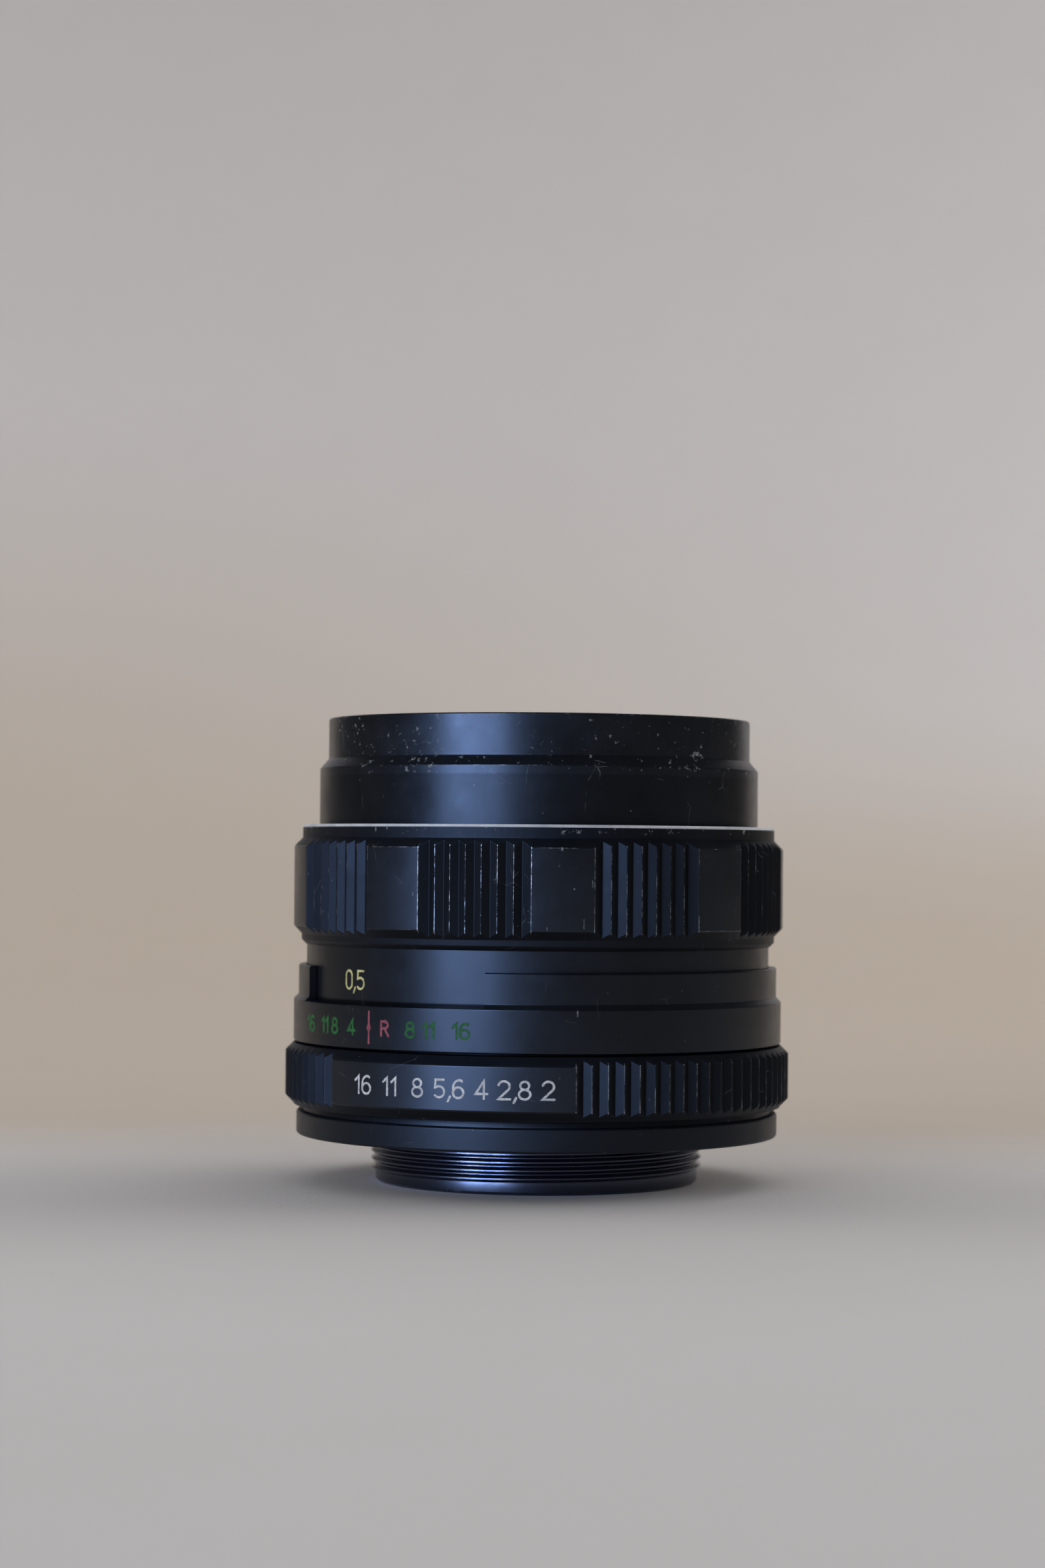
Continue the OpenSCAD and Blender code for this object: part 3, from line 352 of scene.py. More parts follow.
def soften(points, size, closed=True, steps=2, even=False):
    """Rounds the corners of an outline. Returns (x, y, wear) with wear 1 at the middle of each outward
    corner. A point may carry its own size as a third number. An even outline gets as many points at every
    corner."""
    out = []
    n = len(points)
    anticlockwise = signed_area(points) > 0
    for i in range(n):
        p = Vector(points[i][:2])
        s = points[i][2] if len(points[i]) > 2 else size
        if not closed and i in (0, n - 1):
            out.append((p.x, p.y, 0.0))
            continue
        back = Vector(points[i - 1][:2]) - p
        ahead = Vector(points[(i + 1) % n][:2]) - p
        if s <= 0 or min(back.length, ahead.length) < 1e-6:
            out.extend([(p.x, p.y, 0.0)] * (steps + 1 if even else 1))
            continue
        outward = (back.x * ahead.y - back.y * ahead.x < 0) == anticlockwise
        cosine = max(-1, min(1, back.dot(ahead) / (back.length * ahead.length)))
        bend = math.pi - math.acos(cosine)
        if bend < math.radians(4) and not even:
            out.append((p.x, p.y, 0.0))
            continue
        cut = min(s, 0.45 * back.length, 0.45 * ahead.length)
        start, end = p + back / back.length * cut, p + ahead / ahead.length * cut
        for k in range(steps + 1):
            t = k / steps
            q = start * (1 - t) ** 2 + p * 2 * t * (1 - t) + end * t * t
            wear = (1 - abs(2 * t - 1)) if outward and bend > math.radians(20) else 0.0
            out.append((q.x, q.y, wear))
    return out


def finish_object(name, verts, faces, material, body, replaces=(), wear=None, smooth=True, weighted=True):
    """Makes the piece from corners in mm, gives it its material, and puts it on its body."""
    mesh = bpy.data.meshes.new(name)
    mesh.from_pydata([tuple(c * MM for c in v) for v in verts], [], faces)
    mesh.validate()
    mesh.update()
    if wear is not None:
        at = mesh.attributes.new("wear", "FLOAT", "POINT")
        at.data.foreach_set("value", wear)
    if smooth:
        mesh.polygons.foreach_set("use_smooth", [True] * len(mesh.polygons))
    o = bpy.data.objects.new(name, mesh)
    scene.collection.objects.link(o)
    mesh.materials.append(MAT[material])
    if weighted:
        w = o.modifiers.new("weighted_normals", "WEIGHTED_NORMAL")
        w.mode = "FACE_AREA"
        w.weight = 100
        w.keep_sharp = True
    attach(o, body)
    if replaces:
        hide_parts(*replaces)
    return o


def polar(az, r):
    """The place in plan at an azimuth in degrees, which counts from the viewer's side to the right."""
    a = math.radians(az)
    return (r * math.sin(a), -r * math.cos(a))


def merge_corners(o):
    """Joins the corners that lie on each other and drops the faces that have no area."""
    bm = bmesh.new()
    bm.from_mesh(o.data)
    bmesh.ops.remove_doubles(bm, verts=bm.verts, dist=0.0002 * MM)
    bm.to_mesh(o.data)
    bm.free()
    o.data.set_sharp_from_angle(angle=math.radians(28))


def turn_rows(name, rows_at, columns, material, body, replaces=(), sewn=False):
    """A turned solid whose closed outline may change from column to column. A column starts with its azimuth,
    and rows_at(column) lists (radius, height, wear), always the same number of points. A sewn outline is
    shifted after a full turn, as a thread is: its last column lies on the first, and they are merged."""
    verts, wear, faces = [], [], []
    azimuths = [column[0] for column in columns]
    columns = [rows_at(column) for column in columns]
    rows = len(columns[0])
    if any(len(column) != rows for column in columns):
        raise ValueError(name + ": the outline changes its number of points")
    anticlockwise = signed_area(columns[0]) > 0
    for az, column in zip(azimuths, columns):
        for r, z, w in column:
            verts.append((*polar(az, r), z))
            wear.append(w)
    for j in range(len(azimuths) - (1 if sewn else 0)):
        k = (j + 1) % len(azimuths)
        for i in range(rows):
            above = (i + 1) % rows
            quad = (j * rows + i, k * rows + i, k * rows + above, j * rows + above)
            faces.append(quad if anticlockwise else quad[::-1])
    o = finish_object(name, verts, faces, material, body, replaces, wear)
    if sewn:
        merge_corners(o)
    return o


def lathe(name, outline, material, body, replaces=(), seg=360, size=0.06, wear_scale=1.0, columns=None,
          crest_wear=1.0, panel=None):
    """Turns an outline round the axis and rounds its corners. outline is a list of (radius, height), or a
    function of the radius that the ring's face has at one column; columns lists (azimuth, face radius, wear).
    panel is the radius of the smooth panels and the wear of their top and bottom edges."""
    even = columns is not None
    columns = columns or [(i * 360 / seg, None, 0.0) for i in range(seg)]
    fixed = None if callable(outline) else soften(outline, size)

    def rows_at(column):
        face_r, column_wear = column[1:]
        on_panel = panel is not None and face_r >= panel[0] - 0.03
        rows = []
        for r, z, w in fixed or soften(outline(face_r), size, even=even):
            on_face = face_r is not None and abs(r - face_r) < 0.06
            column_now = crest_wear * column_wear if on_face else 0.0
            corner = 0.9 * min(w, column_now)
            row_wear = panel[1] if on_panel and on_face else wear_scale
            rows.append((r, z, max(w * row_wear, column_now) + corner))
        return rows

    return turn_rows(name, rows_at, columns, material, body, replaces)


def star_columns(points, size, arc_step=1.2):
    """Columns from a ring's outline seen along the axis, given as (azimuth, radius) round a full turn.
    Corners are rounded, and an arc between two points of the same radius is subdivided, so that a panel stays
    round."""
    dense = []
    for (az, r), (next_az, next_r) in zip(points, points[1:] + points[:1]):
        dense.append((*polar(az, r), size))
        span = (next_az - az) % 360
        if abs(r - next_r) < 1e-6 and span > 2 * arc_step:
            pieces = int(span / arc_step)
            dense += [(*polar(az + span * q / pieces, r), 0.0) for q in range(1, pieces)]
    rounded = soften(dense, size)
    columns = [(math.degrees(math.atan2(x, -y)) % 360, math.hypot(x, y), w) for x, y, w in rounded]
    return sorted(columns, key=lambda column: column[0])


def groove_points(first_az, count, step, valley_r):
    """Corners, for star_columns, of a run of grooves whose flanks stand at 60 degrees to the radius."""
    half = math.radians(step / 2)
    climb = valley_r * math.tan(half) / (math.sin(math.radians(60)) - 0.5 * math.tan(half))
    crest_r = (valley_r + climb * 0.5) / math.cos(half)
    points = []
    for i in range(count):
        points += [(first_az + i * step, valley_r), (first_az + (i + 0.5) * step, crest_r)]
    return points[:-1]


# ---------------------------------------------------------------- fixed barrel

# mount ring: flange, and the M42 x 1 thread below it
low, high = mm("mount_ring")
tip_z, flange_top, flange_r = low[2], high[2], high[0]
bore_r, thread_root, thread_crest, relief_r = 19.0, 20.4, 20.95, 21.3
thread_pitch = 1.0
thread_turn = 0.15  # turns by which the helix is shifted


def thread_rows(az, root, crest, top, bottom, pitch, phase):
    """Corners down a wall that carries a right-handed helical thread, run out at both ends."""
    run_out_z = 0.4
    rows = []
    ridges = int((top - bottom) / pitch) + 3
    for i in range(ridges):
        middle = top + (phase + az / 360 - i) * pitch
        for r, dz in ((root, 0.46), (crest, 0.08), (crest, -0.08), (root, -0.46)):
            z = min(top, max(bottom, middle + dz * pitch))
            share = max(0.0, min(1.0, (top - z) / run_out_z, (z - bottom) / run_out_z))
            rows.append((root + (r - root) * share, z, 0.25 if r > root else 0.0))
    return rows


def mount_rows(column):
    thread_top, thread_bottom = -0.1, tip_z + 1.4
    before = soften([(bore_r, flange_top, 0.02), (flange_r, flange_top, 0.02), (flange_r, 0.0, 0.08),
                     (relief_r, 0.0, 0.04), (relief_r, 0.3, 0.04), (thread_root, 0.3, 0.04),
                     (thread_root, thread_top, 0.0)], 0.04, closed=False)
    after = soften([(thread_root, thread_bottom), (thread_root, tip_z + 0.3, 0.12),
                    (thread_root - 0.3, tip_z, 0.08), (bore_r + 0.3, tip_z, 0.06),
                    (bore_r, tip_z + 0.3, 0.06), (bore_r, tip_z + 1.0)], 0.04, closed=False)
    thread = thread_rows(column[0], thread_root, thread_crest, thread_top, thread_bottom, thread_pitch,
                         thread_turn)
    return before[:-1] + thread + after[1:]


turn_rows("mount_thread_ring", mount_rows, [(i * 0.9,) for i in range(401)], "thread", "fixed_barrel",
          ("mount_ring",), sewn=True)

# rear ring, round the mount's flange
rear_seat = mm("rear_ring")[1][2]
rear_r, rear_top = 30.5, 2.95
lathe("rear_ring_turned",
      [(flange_r + 0.01, 0.0, 0.06), (rear_r - 0.2, 0.0, 0.08), (rear_r, 0.2, 0.1),
       (rear_r, rear_top - 0.2, 0.08), (rear_r - 0.2, rear_top, 0.08), (29.6, rear_top, 0.03),
       (29.6, rear_seat, 0.03), (22.0, rear_seat, 0.03), (22.0, flange_top + 0.01, 0.03),
       (flange_r + 0.01, flange_top + 0.01, 0.02)],
      "rear", "fixed_barrel", ("rear_ring",), seg=400, wear_scale=0.55)

# aperture ring: grooves all round, and a smooth panel for the figures
ap_bottom, ap_top = mm("aperture_ring")[0][2], mm("aperture_ring")[1][2]
ap_r, ap_edge, ap_valley = 32.1, 31.0, 31.37
ap_panel = (-51.1, 8.1)


def aperture_outline(face_r):
    bevel = min(face_r, ap_r) - ap_edge
    return [(28.0, ap_bottom, 0.05), (ap_edge - 0.1, ap_bottom, 0.05), (ap_edge, ap_bottom + 0.2, 0.05),
            (ap_edge + bevel, ap_bottom + 0.2 + bevel, 0.07), (ap_edge + bevel, ap_top - 0.05 - bevel, 0.07),
            (ap_edge, ap_top - 0.05, 0.06), (ap_edge - 0.05, ap_top, 0.04), (28.0, ap_top, 0.05)]


star = groove_points(9.8, 84, 3.585, ap_valley) + [(az + 360, ap_r) for az in ap_panel]
lathe("aperture_ring_grip", aperture_outline, "aperture", "aperture_ring", ("aperture_ring",),
      columns=star_columns(star, 0.07), wear_scale=0.50, crest_wear=0.84, panel=(ap_r, 0.62))

# depth-of-field ring: the scale's face, and a raised band that is cut away in the window
sc_r, band_r, band_top = 30.95, 30.35, mm("scale_ring")[1][2]
scale_low, scale_high = 11.7, 16.95
index_az = -41.0
window = (index_az - 28.3, index_az + 28.8)


def scale_outline(face_r):
    """The outline with the band, or without it where face_r is 0."""
    face = [(29.01, scale_low, 0.03), (sc_r - 0.15, scale_low, 0.05), (sc_r, scale_low + 0.15, 0.06),
            (sc_r, scale_high, 0.08)]
    band = [(band_r, 17.55, 0.06), (band_r, band_top - 0.15, 0.05), (band_r - 0.15, band_top, 0.05),
            (29.45, band_top, 0.03)]
    step = [(band_r - 0.04, scale_high + 0.05, 0.03), (band_r - 0.2, scale_high + 0.051, 0.03),
            (29.6, scale_high + 0.052, 0.03), (29.45, scale_high + 0.05, 0.03)]
    return face + (band if face_r else step) + [(29.45, 12.7, 0.03), (29.01, 12.7, 0.03)]


def even_columns(start, end, count, face_r):
    return [(start + (end - start) * i / count, face_r, 0.0) for i in range(count + 1)]


scale_columns = even_columns(window[1], window[0] + 360, 300, band_r) + even_columns(*window, 60, 0.0)
merge_corners(lathe("depth_of_field_ring", scale_outline, "scale", "fixed_barrel", ("scale_ring",),
                    columns=scale_columns, wear_scale=0.55))

# ---------------------------------------------------------------- focusing ring

grip_low, grip_high = mm("focus_grip")[0][2], mm("focus_grip")[1][2]
fg_r, fg_neck, fg_valley, fg_skirt = 31.13, 30.0, 30.3, 30.05
grooves_low, grooves_high, neck_z = 25.2, 36.17, 37.3
rim_seat = grip_high - 0.34


def grip_outline(face_r):
    r = min(face_r, fg_r)
    return [(29.38, grip_low, 0.03), (29.5, grip_low, 0.05), (fg_skirt, grip_low + 0.55, 0.08),
            (fg_skirt, grooves_low, 0.08), (r, grooves_low + (r - fg_skirt), 0.07),
            (r, grooves_high + (fg_r - r), 0.07), (fg_neck, neck_z, 0.10), (fg_neck, rim_seat - 0.04, 0.04),
            (fg_neck - 0.02, rim_seat, 0.0), (29.3, rim_seat, 0.02), (29.3, 28.0, 0.02), (28.62, 28.0, 0.02),
            (28.62, 27.02, 0.02), (28.96, 27.02, 0.02), (28.96, 25.5, 0.02), (29.38, 25.5, 0.02)]


# nine groups of seven grooves with a smooth panel between each two, which takes the room of four more
groups, grooves = 9, 7
group_step = 360 / groups
groove_step = group_step / (grooves + 4)
group_half = (grooves - 1) / 2 * groove_step
panel_gap = 2.1  # from the last groove to the panel's edge
star = []
for p in range(groups):
    middle = 25.2 + p * group_step
    star += groove_points(middle - group_half, grooves, groove_step, fg_valley)
    star += [(middle + group_half + panel_gap, fg_r), (middle + group_step - group_half - panel_gap, fg_r)]
lathe("focusing_grip", grip_outline, "grip", "focus_ring", ("focus_grip",),
      columns=star_columns(star, 0.07), wear_scale=0.42, crest_wear=0.92, panel=(fg_r, 0.70))

# the bare rim on top of the grip
lathe("bare_grip_rim", [(29.3, rim_seat, 0.02), (fg_neck, rim_seat, 0.02), (fg_neck, grip_high - 0.1, 0.05),
                        (fg_neck - 0.1, grip_high, 0.06), (29.3, grip_high, 0.03)],
      "bare", "focus_ring", (), seg=400)

sleeve_r = 29.35
low, high = mm("distance_scale")
lathe("distance_sleeve", [(28.45, low[2], 0.03), (sleeve_r, low[2], 0.04), (sleeve_r, high[2], 0.03),
                          (28.96, high[2], 0.03), (28.96, 18.3, 0.03), (28.45, 18.3, 0.03)],
      "sleeve", "focus_ring", ("distance_scale",), seg=400)

low, high = mm("front_lock_ring")
lathe("grip_lock_ring", [(28.61, 28.01, 0.02), (29.28, 28.01, 0.02), (29.28, high[2], 0.05),
                         (28.25, high[2], 0.05), (28.05, high[2] - 0.2, 0.05), (28.05, low[2], 0.03),
                         (28.61, low[2], 0.02)],
      "lacquer", "focus_ring", ("front_lock_ring",), seg=300)

# ---------------------------------------------------------------- lens block

low, high = mm("front_barrel")
barrel_low, barrel_top = low[2], high[2]
barrel_r, rim_r = 27.88, 26.8
filter_crest, filter_root, filter_pitch = 25.6, 26.05, 0.75
filter_thread = []
for i in range(5):
    z = barrel_top - 0.55 - i * filter_pitch
    filter_thread += [(filter_root, z + 0.32, 0.03), (filter_crest, z + 0.08, 0.04),
                      (filter_crest, z - 0.08, 0.04), (filter_root, z - 0.32, 0.03)]
lathe("front_barrel_turned",
      [(26.2, barrel_top, 0.06)] + filter_thread +
      [(filter_root, 48.4, 0.02), (25.2, 48.4, 0.03), (25.2, 44.02, 0.02), (26.0, 44.02, 0.02),
       (26.0, barrel_low, 0.02), (barrel_r - 0.1, barrel_low, 0.05), (barrel_r, barrel_low + 0.1, 0.05),
       (barrel_r, 46.05, 0.10), (rim_r, 47.3, 0.10), (rim_r, barrel_top - 0.15, 0.08),
       (rim_r - 0.15, barrel_top, 0.06)],
      "barrel", "lens_block", ("front_barrel",), seg=400, wear_scale=0.6)

low, high = mm("name_ring")
lathe("front_name_ring", [(17.6, low[2], 0.05), (17.6, 45.9, 0.08), (20.4, high[2], 0.2),
                          (25.19, high[2], 0.05), (25.19, 46.2, 0.05), (20.6, 46.2, 0.1),
                          (18.6, low[2], 0.05)],
      "lacquer", "lens_block", ("name_ring",), seg=300)

low, high = mm("front_cell")
lathe("front_lens_cell", [(18.98, low[2], 0.03), (18.98, 43.01, 0.03), (20.5, 43.01, 0.03),
                          (20.5, 43.8, 0.05), (18.6, 43.8, 0.05), (18.6, high[2], 0.05),
                          (17.2, high[2], 0.05), (17.2, 43.7, 0.02), (16.0, 43.7, 0.03), (16.0, 40.3, 0.03),
                          (14.8, 40.3, 0.03), (14.0, 38.5, 0.03), (14.0, 25.25, 0.02), (12.0, 25.25, 0.02),
                          (11.9, low[2], 0.02)],
      "lacquer", "lens_block", ("front_cell",), seg=260)

low, high = mm("rear_cell")
lathe("rear_lens_cell", [(15.9, low[2], 0.15), (15.9, 15.2, 0.03), (20.29, 15.2, 0.04),
                         (20.29, high[2], 0.04), (12.5, high[2], 0.04), (12.5, 9.8, 0.03), (11.5, 9.8, 0.03),
                         (11.5, 8.0, 0.03), (12.8, 6.5, 0.03), (12.8, 5.75, 0.03), (13.8, 5.75, 0.02),
                         (13.8, 3.45, 0.02), (14.6, 3.45, 0.02), (14.6, low[2], 0.1)],
      "rear", "lens_block", ("rear_cell",), seg=260, wear_scale=0.5)

for name, node, inner_r, outer_r in (("front_element_ring", "front_retaining_ring", 15.0, 17.19),
                                     ("rear_element_ring", "rear_retaining_ring", 12.8, 14.59)):
    low, high = mm(node)
    lathe(name, [(inner_r, low[2], 0.05), (outer_r, low[2], 0.04), (outer_r, high[2], 0.06),
                 (inner_r, high[2], 0.08)], "lacquer", "lens_block", (node,), seg=240)


def element(name, node, edge_r, front, back, material, seg=128, rings=24):
    """A lens element between two spherical surfaces, each given as (vertex height, signed radius), or as a
    height and 0 for a flat one. A hollow surface ends in a flat rim at the node's own height."""
    lo, hi = mm(node)

    def height(surface, r):
        vertex, ball = surface
        z = vertex + ball - math.copysign(math.sqrt(ball * ball - r * r), ball) if ball else vertex
        return min(hi[2], max(lo[2], z))

    radii = [edge_r * i / rings for i in range(rings + 1)]
    outline = [(r, height(back, r)) for r in radii] + [(r, height(front, r)) for r in reversed(radii)]
    verts, faces = [], []
    for j in range(seg):
        a = 2 * math.pi * j / seg
        verts += [(r * math.cos(a), r * math.sin(a), z) for r, z in outline[1:-1]]
    rows = len(outline) - 2
    bottom, top = len(verts), len(verts) + 1
    verts += [(0, 0, outline[0][1]), (0, 0, outline[-1][1])]
    for j in range(seg):
        k = (j + 1) % seg
        for i in range(rows - 1):
            faces.append((j * rows + i, k * rows + i, k * rows + i + 1, j * rows + i + 1))
        faces.append((bottom, k * rows, j * rows))
        faces.append((top, j * rows + rows - 1, k * rows + rows - 1))
    o = finish_object(name, verts, faces, material, "lens_block", (node,), weighted=False)
    o.data.set_sharp_from_angle(angle=math.radians(25))


element("front_glass", "front_element", 15.98, (46.6, -39.0), (41.0, -196.0), "glass")
element("second_glass", "second_element", 13.98, (40.6, -22.0), (32.6, 0.0), "glass")
element("third_glass", "third_element", 13.98, (32.6, 0.0), (30.2, -14.6), "glass")
element("fourth_glass", "fourth_element", 12.48, (16.9, 17.0), (14.9, 0.0), "glass")
element("fifth_glass", "fifth_element", 12.48, (14.9, 0.0), (6.9, 23.6), "glass_back")
element("rear_glass", "rear_element", 13.78, (6.5, -100.0), (1.5, 40.0), "glass_back")

# ---------------------------------------------------------------- diaphragm blades

open_r, closed_r, pivot_r, blade_out = 11.75, 1.45, 19.0, 18.0
close_angle = 2 * math.asin((open_r - closed_r) / (2 * pivot_r))
blade_thick, blade_top, blade_drop = 0.1, 23.6, 0.15  # each blade lies a drop below the one before


def circle(x, y, r, count):
    return [(x + r * math.cos(2 * math.pi * k / count), y + r * math.sin(2 * math.pi * k / count))
            for k in range(count)]


def blade(i):
    """One crescent blade, closed to its rest place, with a lug at its pivot and a pin that the cam drives."""
    node = "blade_%d" % (i + 1)
    pin_low = mm(node)[0][2]
    top = blade_top - i * blade_drop
    steps, start_az, end_az = 60, -4, 100
    arc_at = [math.radians(start_az + (end_az - start_az) * k / steps) for k in range(steps + 1)]
    outline = [(blade_out * math.cos(a), blade_out * math.sin(a)) for a in arc_at]
    middle, half = (open_r + blade_out) / 2, (blade_out - open_r) / 2
    end = arc_at[-1]
    for k in range(1, 12):
        t = math.pi * k / 12
        r, side = middle + half * math.cos(t), half * 0.5 * math.sin(t)
        outline.append((r * math.cos(end) - side * math.sin(end), r * math.sin(end) + side * math.cos(end)))
    outline += [(open_r * math.cos(a), open_r * math.sin(a)) for a in reversed(arc_at)]
    to_pivot = Matrix.Translation((pivot_r, 0, 0))
    closed = to_pivot @ Matrix.Rotation(close_angle, 4, "Z") @ to_pivot.inverted()
    place = Matrix.Rotation(math.radians(45 * i), 4, "Z") @ closed
    verts, faces = [], []

    def plate(points, bottom, top):
        base = len(verts)
        n = len(points)
        for z in (bottom, top):
            verts.extend(tuple(place @ Vector((x, y, z))) for x, y in points)
        faces.append(tuple(base + q for q in range(n))[::-1])
        faces.append(tuple(base + n + q for q in range(n)))
        for q in range(n):
            p = (q + 1) % n
            faces.append((base + q, base + p, base + n + p, base + n + q))

    def thin_plate(points, inset):
        """A plate of the blade's thickness less an inset on both sides, so that no two faces coincide."""
        plate(points, top - blade_thick + inset, top - inset)

    lug_r = 0.95
    pin_x, pin_y = pivot_r - 2 * math.sin(close_angle / 2), -2 * math.cos(close_angle / 2)
    thin_plate(outline, 0.0)
    thin_plate(circle(pivot_r, 0, lug_r, 32), 0.001)
    thin_plate([(pivot_r - 2, -lug_r), (pivot_r, -lug_r), (pivot_r, lug_r), (pivot_r - 2, lug_r)], 0.002)
    plate(circle(pin_x, pin_y, 0.33, 24), pin_low, top - blade_thick / 2)
    thin_plate(circle(pin_x, pin_y, 0.55, 24), 0.003)
    thin_plate([(pin_x - 0.5, pin_y), (pin_x + 0.5, pin_y), (pivot_r + 0.5, 0), (pivot_r - 0.5, 0)], 0.004)
    finish_object("diaphragm_" + node, verts, faces, "blade", node, (node,), smooth=False, weighted=False)


for i in range(8):
    blade(i)

# ---------------------------------------------------------------- figures and marks

def arc(x, y, rx, ry, start, end, count=14):
    angles = [math.radians(start + (end - start) * i / count) for i in range(count + 1)]
    return [(x + rx * math.cos(a), y + ry * math.sin(a)) for a in angles]


# the strokes of each figure in a box of height 1, after the figure's width
full_turn = [2 * math.pi * i / 40 for i in range(41)]
GLYPH = {
    "0": (0.50, [arc(0.25, 0.72, 0.25, 0.28, 0, 180) + arc(0.25, 0.28, 0.25, 0.28, 180, 360)
                 + [(0.5, 0.72)]]),
    "1": (0.34, [[(0.02, 0.74), (0.27, 0.99), (0.27, 0.0)]]),
    "2": (0.60, [arc(0.30, 0.71, 0.28, 0.29, 165, -35) + [(0.02, 0.0), (0.60, 0.0)]]),
    "3": (0.54, [arc(0.27, 0.75, 0.24, 0.25, 150, -90), arc(0.27, 0.27, 0.27, 0.27, 90, -150)]),
    "4": (0.60, [[(0.43, 0.0), (0.43, 1.0), (0.02, 0.27), (0.60, 0.27)]]),
    "5": (0.56, [[(0.52, 1.0), (0.08, 1.0), (0.06, 0.56)] + arc(0.27, 0.32, 0.28, 0.31, 125, -140)]),
    "6": (0.56, [[(0.48, 0.93)] + arc(0.36, 0.60, 0.34, 0.40, 75, 170, 8)
                 + arc(0.28, 0.30, 0.27, 0.30, 180, 540, 20)]),
    "7": (0.52, [[(0.02, 1.0), (0.52, 1.0), (0.18, 0.0)]]),
    "8": (0.56, [arc(0.28, 0.76, 0.22, 0.23, -90, 270, 18), arc(0.28, 0.27, 0.28, 0.27, -90, 270, 20)]),
    ",": (0.22, [[(0.14, 0.08), (0.02, -0.20)]]),
    "R": (0.56, [[(0.02, 0.0), (0.02, 1.0), (0.28, 1.0)] + arc(0.28, 0.76, 0.24, 0.24, 90, -90, 10)
                 + [(0.02, 0.52)], [(0.28, 0.52), (0.56, 0.0)]]),
    "infinity": (1.20, [[(0.6 + 0.58 * math.sin(t), 0.42 + 0.52 * math.sin(t) * math.cos(t))
                         for t in full_turn]]),
}


def text_lines(figures, height, gap=0.16, squash=0.92):
    """Strokes of a row of figures in mm, centred on x = 0 and on half the figures' height. The figures are as
    wide as their height asks for, and squash lowers them."""
    x, strokes = 0.0, []
    for figure in figures:
        width, lines = GLYPH[figure]
        for line in lines:
            strokes.append([((x + px) * height, (py - 0.5) * height * squash) for px, py in line])
        x += width + (0.06 if figure == "," else gap)
    total = (x - gap) * height
    return [[(px - total / 2, py) for px, py in stroke] for stroke in strokes]


def ribbon(line, width, cap=6):
    """A stroke of nearly even width with round ends: its quads, and the fan at each end."""
    n = len(line)
    points = [Vector(p) for p in line]
    ways = [(points[i + 1] - points[i]).normalized() for i in range(n - 1)]
    left, right = [], []
    for i in range(n):
        before, after = ways[max(0, i - 1)], ways[min(n - 2, i)]
        across = Vector((-before.y, before.x))
        normal = Vector((-(before.y + after.y), before.x + after.x))
        if normal.length < 1e-6:
            normal = across.copy()
        normal.normalize()
        mitre = 1.0 / max(0.45, normal.dot(across))
        uneven = 1.0 + 0.10 * math.sin(7.0 * i + points[i].x * 9.0)
        left.append(points[i] + normal * width / 2 * mitre * uneven)
        right.append(points[i] - normal * width / 2 * mitre * uneven)
    polygons = [(left[i], right[i], right[i + 1], left[i + 1]) for i in range(n - 1)]
    for end, first, last in ((points[0], right[0], left[0]), (points[-1], left[-1], right[-1])):
        start = math.atan2(first.y - end.y, first.x - end.x)
        turns = [start - math.pi * k / cap for k in range(1, cap)]
        round_end = [end + Vector((math.cos(a), math.sin(a))) * width / 2 for a in turns]
        polygons.append([first] + round_end + [last])
    return polygons


def split_line(line, step=0.35):
    """Cuts long straight strokes, so that they follow the ring."""
    points = [line[0]]
    for (x0, y0), (x1, y1) in zip(line, line[1:]):
        count = max(1, int(math.hypot(x1 - x0, y1 - y0) / step))
        points += [(x0 + (x1 - x0) * q / count, y0 + (y1 - y0) * q / count) for q in range(1, count + 1)]
    return points


def figures(name, items, radius, body, material, stroke):
    """Wraps strokes round a ring. items lists (strokes, azimuth, height above the flange). Strokes lie in
    five layers, so that two that cross are not in one plane."""
    verts, faces = [], []
    layer = 0
    for strokes, az, height in items:
        for line in strokes:
            layer = (layer + 1) % 5
            r = radius + 0.006 + 0.0015 * layer
            for polygon in ribbon(split_line(line), stroke):
                faces.append(tuple(range(len(verts), len(verts) + len(polygon))))
                verts += [(*polar(az + math.degrees(p.x / radius), r), height + p.y) for p in polygon]
    o = finish_object(name, verts, faces, material, body, smooth=False, weighted=False)
    bm = bmesh.new()
    bm.from_mesh(o.data)
    for f in bm.faces:
        c = f.calc_center_median()
        if f.normal.x * c.x + f.normal.y * c.y < 0:
            f.normal_flip()
    bm.to_mesh(o.data)
    bm.free()


aperture_z, depth_z, distance_z = 7.6, 14.35, 19.95

stops = [("16", -40.9), ("11", -33.4), ("8", -26.5), ("5,6", -19.2), ("4", -12.0), ("2,8", -5.0), ("2", 2.2)]
figures("aperture_figures", [(text_lines(t, 2.4, squash=0.88), az, aperture_z) for t, az in stops], ap_r,
        "aperture_ring", "white", 0.27)

depths = [("16", -64.6), ("11", -57.3), ("8", -53.1), ("4", -46.9), ("8", -29.6), ("11", -25.0),
          ("16", -17.3)]
figures("depth_figures", [(text_lines(t, 2.1, 0.12, 0.85), az, depth_z) for t, az in depths], sc_r,
        "fixed_barrel", "green", 0.33)
figures("infrared_mark", [(text_lines("R", 2.05, squash=0.84), -36.5, depth_z)], sc_r, "fixed_barrel", "red",
        0.30)
index_strokes = [[(0.0, 1.9), (0.0, -1.9)], [(-0.2, 0.0), (0.0, 0.42), (0.2, 0.0), (0.0, -0.42), (-0.2, 0.0)]]
figures("index_mark", [(index_strokes, index_az - 0.2, depth_z + 0.05)], sc_r, "fixed_barrel", "red", 0.28)

